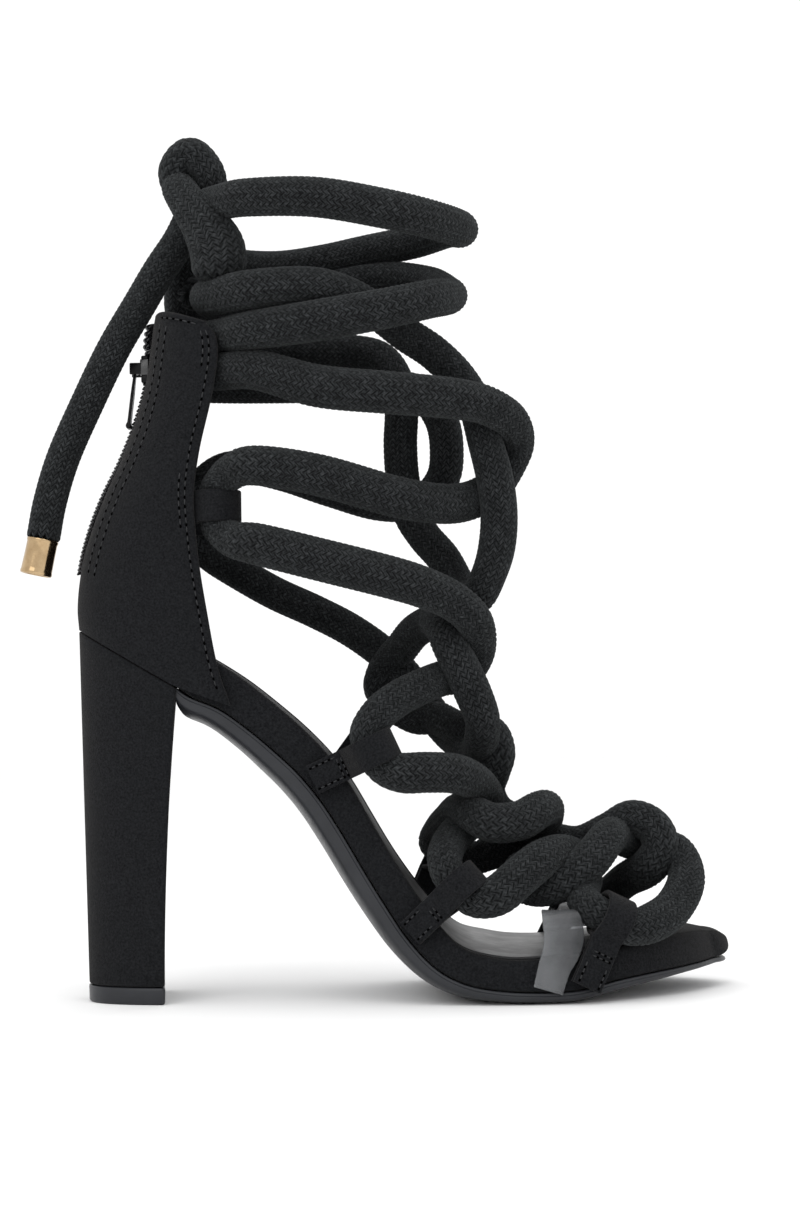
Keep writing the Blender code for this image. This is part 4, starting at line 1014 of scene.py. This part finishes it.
LACING_FAR = [
    (156.5, -4, 37, 1.08), (160, -6, 43, 1.05), (158, -4.5, 49, 1.05), (152, -2, 51.5, 1.05),
    (145, 0, 48, 1.0), (136, 4, 44, 1.0), (125, 13, 45, 1.0), (110.5, 24, 40.5, 1.0),
    (102, 31.6, 37.2, 0.9), (97, 32, 40.2, 0.86), (92.6, 31, 43.6, 0.9), (94.5, 24, 48.3, 0.95),
    (97.5, 11, 52, 1.0),
    (100, -4, 55, 1.0), (103.5, -15.5, 54.2, 1.05), (109, -21.5, 51.8, 1.1), (117, -20.5, 52.2, 1.1),
    (123, -15, 55, 1.05), (126, -7, 55, 1.0), (125, 2, 50.5, 1.0), (119, 9, 50.5, 1.0),
    (112, 11, 54, 1.0), (109, 8.5, 60.5, 1.0), (110.5, 3, 66.5, 1.0), (112, 0, 72, 1.0),
    (110.5, 2.5, 77.5, 1.0), (106, 7, 79.5, 1.0), (100, 14, 80, 1.0),
    (94, 22, 83, 1.0), (87.5, 26.5, 83.2, 0.95), (82.6, 28.5, 85.6, 0.9), (78.2, 29, 89, 0.86),
    (75.8, 28.3, 94, 0.9), (78.4, 26.5, 100, 1.0), (83, 21.5, 105, 1.0),
    (87.5, 13, 110, 1.0), (93, 3.5, 112.5, 1.0), (95.5, -6, 110.5, 1.0),
    (97.5, -12, 105, 1.0), (100.8, -13.5, 98, 1.05), (104.4, -13, 90, 1.05), (107, -11, 82.5, 1.0),
    (107, -5, 76.5, 1.0), (106, 5, 73.5, 1.0), (102.5, 15, 74.5, 1.0), (98, 23.5, 78, 1.0),
    (92, 26, 85.5, 1.0), (86, 25, 94.5, 1.0),
    (78, 28.5, 103.5, 1.0), (67.5, 31.5, 111.5, 1.0), (56, 32, 117.8, 1.0), (43, 32, 124, 1.0),
    (31, 31, 131, 1.0), (23, 27, 136, 0.95), (18.6, 23.2, 140.8, 0.9), (18.2, 22.8, 146.2, 0.86),
    (18.6, 23.2, 151.5, 0.9), (21, 26, 158.5, 1.0), (27, 29.5, 163.8, 1.0), (35, 32, 164.8, 1.0),
    (47, 32.5, 162, 1.0), (61, 32.5, 157, 1.0), (77, 31, 152, 1.0), (90, 25, 151.8, 1.0),
    (97, 17, 158, 1.0), (98.5, 15, 167, 1.0), (97, 17, 177, 1.0), (91, 22.5, 186, 1.0),
    (80, 28, 190, 1.0), (60, 31, 190.5, 1.0), (34, 23, 189.5, 1.0), (16, 14.5, 188.8, 1.0),
]
ANKLE_RING = [
    (31, 8, 211, 1.0), (26.6, -1, 212, 1.0), (26, -10, 211.6, 1.0), (29.5, -19, 210, 1.05),
    (41, -28, 210, 1.1), (58, -29, 210.3, 1.1), (69, -26, 208, 1.05), (78, -19.5, 204, 1.0),
    (86, -12, 199, 1.0), (94.5, -7, 194, 1.0), (102, -5.5, 186.5, 1.0), (107, -8, 177, 1.0),
    (109.5, -11.5, 166, 1.0), (112, -13.3, 155, 1.05), (113.2, -13, 144, 1.05), (112.4, -12, 134, 1.05),
    (110, -10.5, 126, 1.0),
    (106.5, -7, 119.5, 1.0), (102.5, 1, 119.5, 1.0), (100, 8, 126, 1.0), (96.5, 12, 133, 1.0),
    (91, 16, 140, 1.0), (86.5, 18.5, 148, 1.0), (84.5, 19.5, 159, 1.0), (84, 20.5, 170, 1.0),
    (84.5, 21, 181, 1.0), (83, 23.5, 191, 1.0), (78, 26.5, 198.5, 1.0), (69, 29, 201.3, 1.0),
    (57, 30, 202, 1.0), (44, 29.5, 202.5, 1.0), (32, 26, 203.5, 1.0), (22, 21.5, 206.5, 1.0),
    (16, 18, 212, 1.0), (15.8, 14, 219.5, 1.0), (16.8, 10, 227, 1.0), (18, 5, 233, 1.0),
]
ANKLE_LOWER_TURN = [
    (22, -15, 197, 1.0), (31, -18.5, 198, 1.0), (41, -27, 198, 1.08), (60, -32, 199.6, 1.15),
    (80, -31, 203, 1.12), (93, -22.5, 207.2, 1.08), (99, -9, 210.8, 1.05), (99.6, 5, 214.5, 1.0),
    (94, 19.5, 221, 1.0), (80, 29, 225, 1.0), (63, 32, 223.5, 1.0), (48, 31.5, 218, 1.0),
    (34, 26, 217, 1.0), (24, 17.5, 218, 1.0), (18.5, 7, 216.5, 1.0),
]
ANKLE_UPPER_TURN = [
    (24.5, -13, 238.5, 0.95), (31, -19, 238.5, 1.0), (40, -28, 237.5, 1.05), (60, -33, 236, 1.1),
    (80, -31, 232.8, 1.1), (95, -20.5, 231.6, 1.08), (103.4, -5, 232.4, 1.05), (100, 12, 236, 1.0),
    (90, 23.5, 235.5, 1.0), (74, 30.5, 234, 1.0), (60, 32, 231.5, 1.0), (46, 31, 229.5, 1.0),
    (33, 25.5, 229, 1.0), (23, 17, 229.5, 1.0), (16, 7, 231, 1.0),
]
cotton, cotton_shader = new_material("rope_cotton", 0.95, 0.06)
yarn_tone_and_painted_shade = cotton.node_tree.nodes.new("ShaderNodeAttribute")
yarn_tone_and_painted_shade.attribute_name = "yarn_tone_and_painted_shade"
# The yarn's base colour is painted shade: near black in the gaps between stitches, lightest on their middles
yarn_colour = mix_colours(cotton, yarn_tone_and_painted_shade.outputs["Fac"], (0.0006, 0.0007, 0.0008), (0.0315, 0.0345, 0.0367))
yarn_shade = cotton.node_tree.nodes.new("ShaderNodeMix")
yarn_shade.data_type = "RGBA"
yarn_shade.blend_type = "MULTIPLY"
yarn_shade.inputs[0].default_value = 1.0
yarn_tint = mix_colours(cotton, use_grain(cotton, 1100), (0.3, 0.3, 0.3), (1.75, 1.71, 1.68))
cotton.node_tree.links.new(yarn_colour, yarn_shade.inputs[6])
cotton.node_tree.links.new(yarn_tint, yarn_shade.inputs[7])
cotton.node_tree.links.new(yarn_shade.outputs[2], cotton_shader.inputs["Base Color"])
cotton_shader.inputs["Sheen Weight"].default_value = 0.06
cotton_shader.inputs["Sheen Roughness"].default_value = 0.5
cotton_shader.inputs["Sheen Tint"].default_value = (0.95, 1.0, 1.0, 1.0)
add_bump(cotton, cotton_shader, use_grain(cotton, 4500), 0.0002, 0.5)


# Points an even step apart on the smooth line of a route
def even_points(route, step):
    fine = smooth_rows(route, 24)
    along = distances(fine[:, :3])
    goals = np.linspace(0, along[-1], int(along[-1] / step) + 1)
    return np.stack([np.interp(goals, along, fine[:, k]) for k in range(fine.shape[1])], axis=1)


# The braid's rings: columns of slanted stitches, leaning to alternate sides and half a stitch apart.
# Every second point of a ring is the middle of a column, where every fourth ring is a gap between stitches.
def braid_rings(route, radius, end_round=BRAID_END_ROUND):
    line = even_points(route, BRAID_PITCH / 4)
    places = line[:, :3]
    ways = directions(places)
    axes = np.array(carried_axes(ways, np.array((0.0, 1.0, 0.0))))
    sides, others = axes[:, 0, None, :], axes[:, 1, None, :]
    spokes = np.arange(2 * BRAID_COLUMNS)
    turns = (spokes * math.pi / BRAID_COLUMNS)[None, :, None]
    on_edge = spokes % 2 == 0
    shift = np.where(on_edge, BRAID_SLANT / 2 * np.where(spokes % 4 == 0, -1, 1), 0.0)[None, :, None]
    stitch_column = (spokes // 2)[None, :]
    steps = np.arange(len(line))[:, None] + 2 * (stitch_column % 2)
    gaps = np.where(on_edge, steps % 2 == 0, steps % 4 == 0)
    # The height and painted shade of each point; each stitch's shade is then varied at random in tone
    rise, shade = [
        np.where(gaps, np.where(on_edge, gap_edge, gap_middle), np.where(on_edge, stitch_edge, stitch_middle))
        for gap_edge, gap_middle, stitch_edge, stitch_middle in (YARN_HEIGHTS, YARN_PAINTED_SHADES)
    ]
    uneven = np.random.default_rng(5).uniform(0.68, 1.15, (steps.max() // 4 + 1, BRAID_COLUMNS))
    shade = shade * uneven[steps // 4, stitch_column]
    full = np.full((len(line), 1), radius)
    if line.shape[1] > 3:
        full = np.maximum(line[:, 3:4], BRAID_LEAST_FULLNESS) * radius
    from_end = np.arange(len(line)) * BRAID_PITCH / 4
    from_end = np.minimum(np.minimum(from_end, from_end[::-1]) / end_round, 1.0)
    closing = np.sqrt(1 - (1 - from_end) ** 2)[:, None]
    reach = ((full + rise) * np.maximum(closing, 0.05))[:, :, None]
    around = np.cos(turns) * sides + np.sin(turns) * others
    return places[:, None, :] + reach * around + shift * ways[:, None, :], shade


# One piece from several braided stretches, with the painted shade of each stitch, varied at random, as an
# attribute of its mesh
def add_braid(name, stretches, nodes):
    mesh = skins(name, [rings for rings, shade in stretches])
    shades = [np.broadcast_to(shade, rings.shape[:2]).reshape(-1) for rings, shade in stretches]
    mark = mesh.attributes.new("yarn_tone_and_painted_shade", "FLOAT", "POINT")
    mark.data.foreach_set("value", np.concatenate(shades).astype(np.float32))
    return add_piece(name, mesh, cotton, nodes)


lacing, lacing_shade = braid_rings(LACING_NEAR + LACING_FAR[1:], ROPE_RADIUS)
third = len(lacing) // 3
lacing_ends = (0, third, 2 * third, len(lacing) - 1)
for label, first, last in zip(("first", "second", "third"), lacing_ends, lacing_ends[1:]):
    stretch = (lacing[first:last + 1], lacing_shade[first:last + 1])
    add_braid(f"rope_lacing_{label}", [stretch], ["rope_upper"])
ankle = [braid_rings(route, ROPE_RADIUS) for route in (ANKLE_RING, ANKLE_LOWER_TURN, ANKLE_UPPER_TURN)]
add_braid("rope_ankle", ankle, ["rope_upper"])

# Knot: the same rope, tied at the back of the ankle. An arch stands up at the top and a wrap crosses in front
# of it, running down under the ankle turns.
KNOT_ARCH = [
    (27.4, -7.5, 243.5, 1.0), (26.2, -9, 250.2, 1.05), (21.4, -9.5, 255.2, 1.08), (17.0, -8, 250.8, 1.05),
    (18.6, -3.5, 244.5, 1.0),
]
KNOT_WRAP = [
    (17.4, -4, 247, 0.95), (18.2, -11, 244.5, 1.0), (22, -16, 237.8, 1.1), (26.8, -18.5, 231, 1.4),
    (30, -19.5, 224.5, 1.6), (30.6, -19.5, 218.4, 1.55), (30.8, -19, 215.2, 1.5),
]
knot = [braid_rings(route, ROPE_RADIUS) for route in (KNOT_ARCH, KNOT_WRAP)]
knot_piece = add_braid("rope_knot_tied", knot, ["rope_knot"])

# Free end: what is left of the rope after the knot, hanging down behind the counter.
# It is the same braid, a little thinner, and ends in a metal cap crimped on.
FREE_END_RADIUS = 4.9
FREE_END = [
    (21.5, -8.5, 237), (17.2, -6.5, 229.5), (11.3, -7, 220.6), (5.3, -7.4, 210.4), (-2.7, -10, 195.9),
    (-10.5, -10, 180), (-17.8, -10, 163.8), (-22, -10, 150.3), (-24.2, -10, 139),
]
free_end = add_braid("rope_end_hanging", [braid_rings(FREE_END, FREE_END_RADIUS, 0.01)], ["rope_free_end"])

# Rope tip: a drawn metal cap in polished gold colour, with a rolled rim at each end.
# It is pressed onto the rope with three dents, and open below.
TIP_RADIUS = 4.7
TIP_END = (-26.6, -10.0, 127.9)
TIP_SIDES = 48
TIP_DENT = 0.1
# From the rope to the open end and back inside: distance along the cap and change of its radius
TIP_PROFILE = [
    (0.0, -0.9), (-0.1, -0.4), (0.1, -0.05), (0.4, 0.1), (0.8, 0.02), (1.2, -0.12), (5.0, -0.1), (8.8, -0.02),
    (9.6, 0.0), (10.0, 0.12), (10.5, 0.12), (10.9, -0.05), (11.0, -0.35), (10.8, -0.7), (9.0, -0.8),
    (8.6, -4.0),
]
gold, gold_shader = new_material("gold_metal", 0.16, 0.5)
paint(gold, gold_shader, 220, (0.38, 0.26, 0.14), (0.56, 0.41, 0.24))
gold_shader.inputs["Metallic"].default_value = 1.0
vary_roughness(gold, gold_shader, 500, 0.1, 0.22)
tip_start = np.array(FREE_END[-1])
tip_way = unit(np.array(TIP_END) - tip_start)
tip_side = np.cross(tip_way, (0.0, 1.0, 0.0))
tip_turns = np.arange(TIP_SIDES) * 2 * math.pi / TIP_SIDES
tip_dents = TIP_DENT * np.clip(np.cos(3 * tip_turns), 0, 1) ** 8
tip_rings = []
for along, grow in TIP_PROFILE:
    reach = (TIP_RADIUS + grow - tip_dents * (1.5 < along < 8.5))[:, None]
    tip_rings.append(circle(tip_start + tip_way * (GAP + along), reach, (0, 1, 0), tip_side, TIP_SIDES))
tip = add_solid("rope_tip_cap", [tip_rings], gold, ["rope_tip"], sharp=40)

# Studio: a plain pale floor of paper under white light from all round.
# A large soft lamp hangs above, and another stands on the left, behind the camera.
FLOOR_HALF = 6.0
# Each lamp's place, what it is aimed at, its size and its power
LAMPS = {
    "lamp_above": ((0.1, -0.25, 1.1), (0.08, 0.0, 0.1), 0.9, 3.5),
    "lamp_front": ((-0.35, -0.9, 0.7), (0.08, 0.0, 0.12), 0.7, 2.0),
}
floor_corners = [(FLOOR_HALF * x, FLOOR_HALF * y, 0.0) for x, y in ((-1, -1), (1, -1), (1, 1), (-1, 1))]
floor_mesh = bpy.data.meshes.new("floor")
floor_mesh.from_pydata(floor_corners, [], [(0, 1, 2, 3)])
floor = bpy.data.objects.new("floor", floor_mesh)
bpy.context.scene.collection.objects.link(floor)
paper, paper_shader = new_material("floor_paper", 0.9, 0.1)
paint(paper, paper_shader, 6, (0.93, 0.93, 0.93), (0.95, 0.95, 0.95))
floor_mesh.materials.append(paper)
world = bpy.data.worlds.new("studio")
world.use_nodes = True
world.node_tree.nodes["Background"].inputs["Color"].default_value = (1.0, 1.0, 1.0, 1.0)
world.node_tree.nodes["Background"].inputs["Strength"].default_value = 1.07
bpy.context.scene.world = world
for name, (place, aim, size, power) in LAMPS.items():
    lamp = bpy.data.objects.new(name, bpy.data.lights.new(name, "AREA"))
    lamp.data.size = size
    lamp.data.energy = power
    lamp.location = place
    lamp.rotation_euler = (Vector(aim) - Vector(place)).to_track_quat("-Z", "Y").to_euler()
    bpy.context.scene.collection.objects.link(lamp)
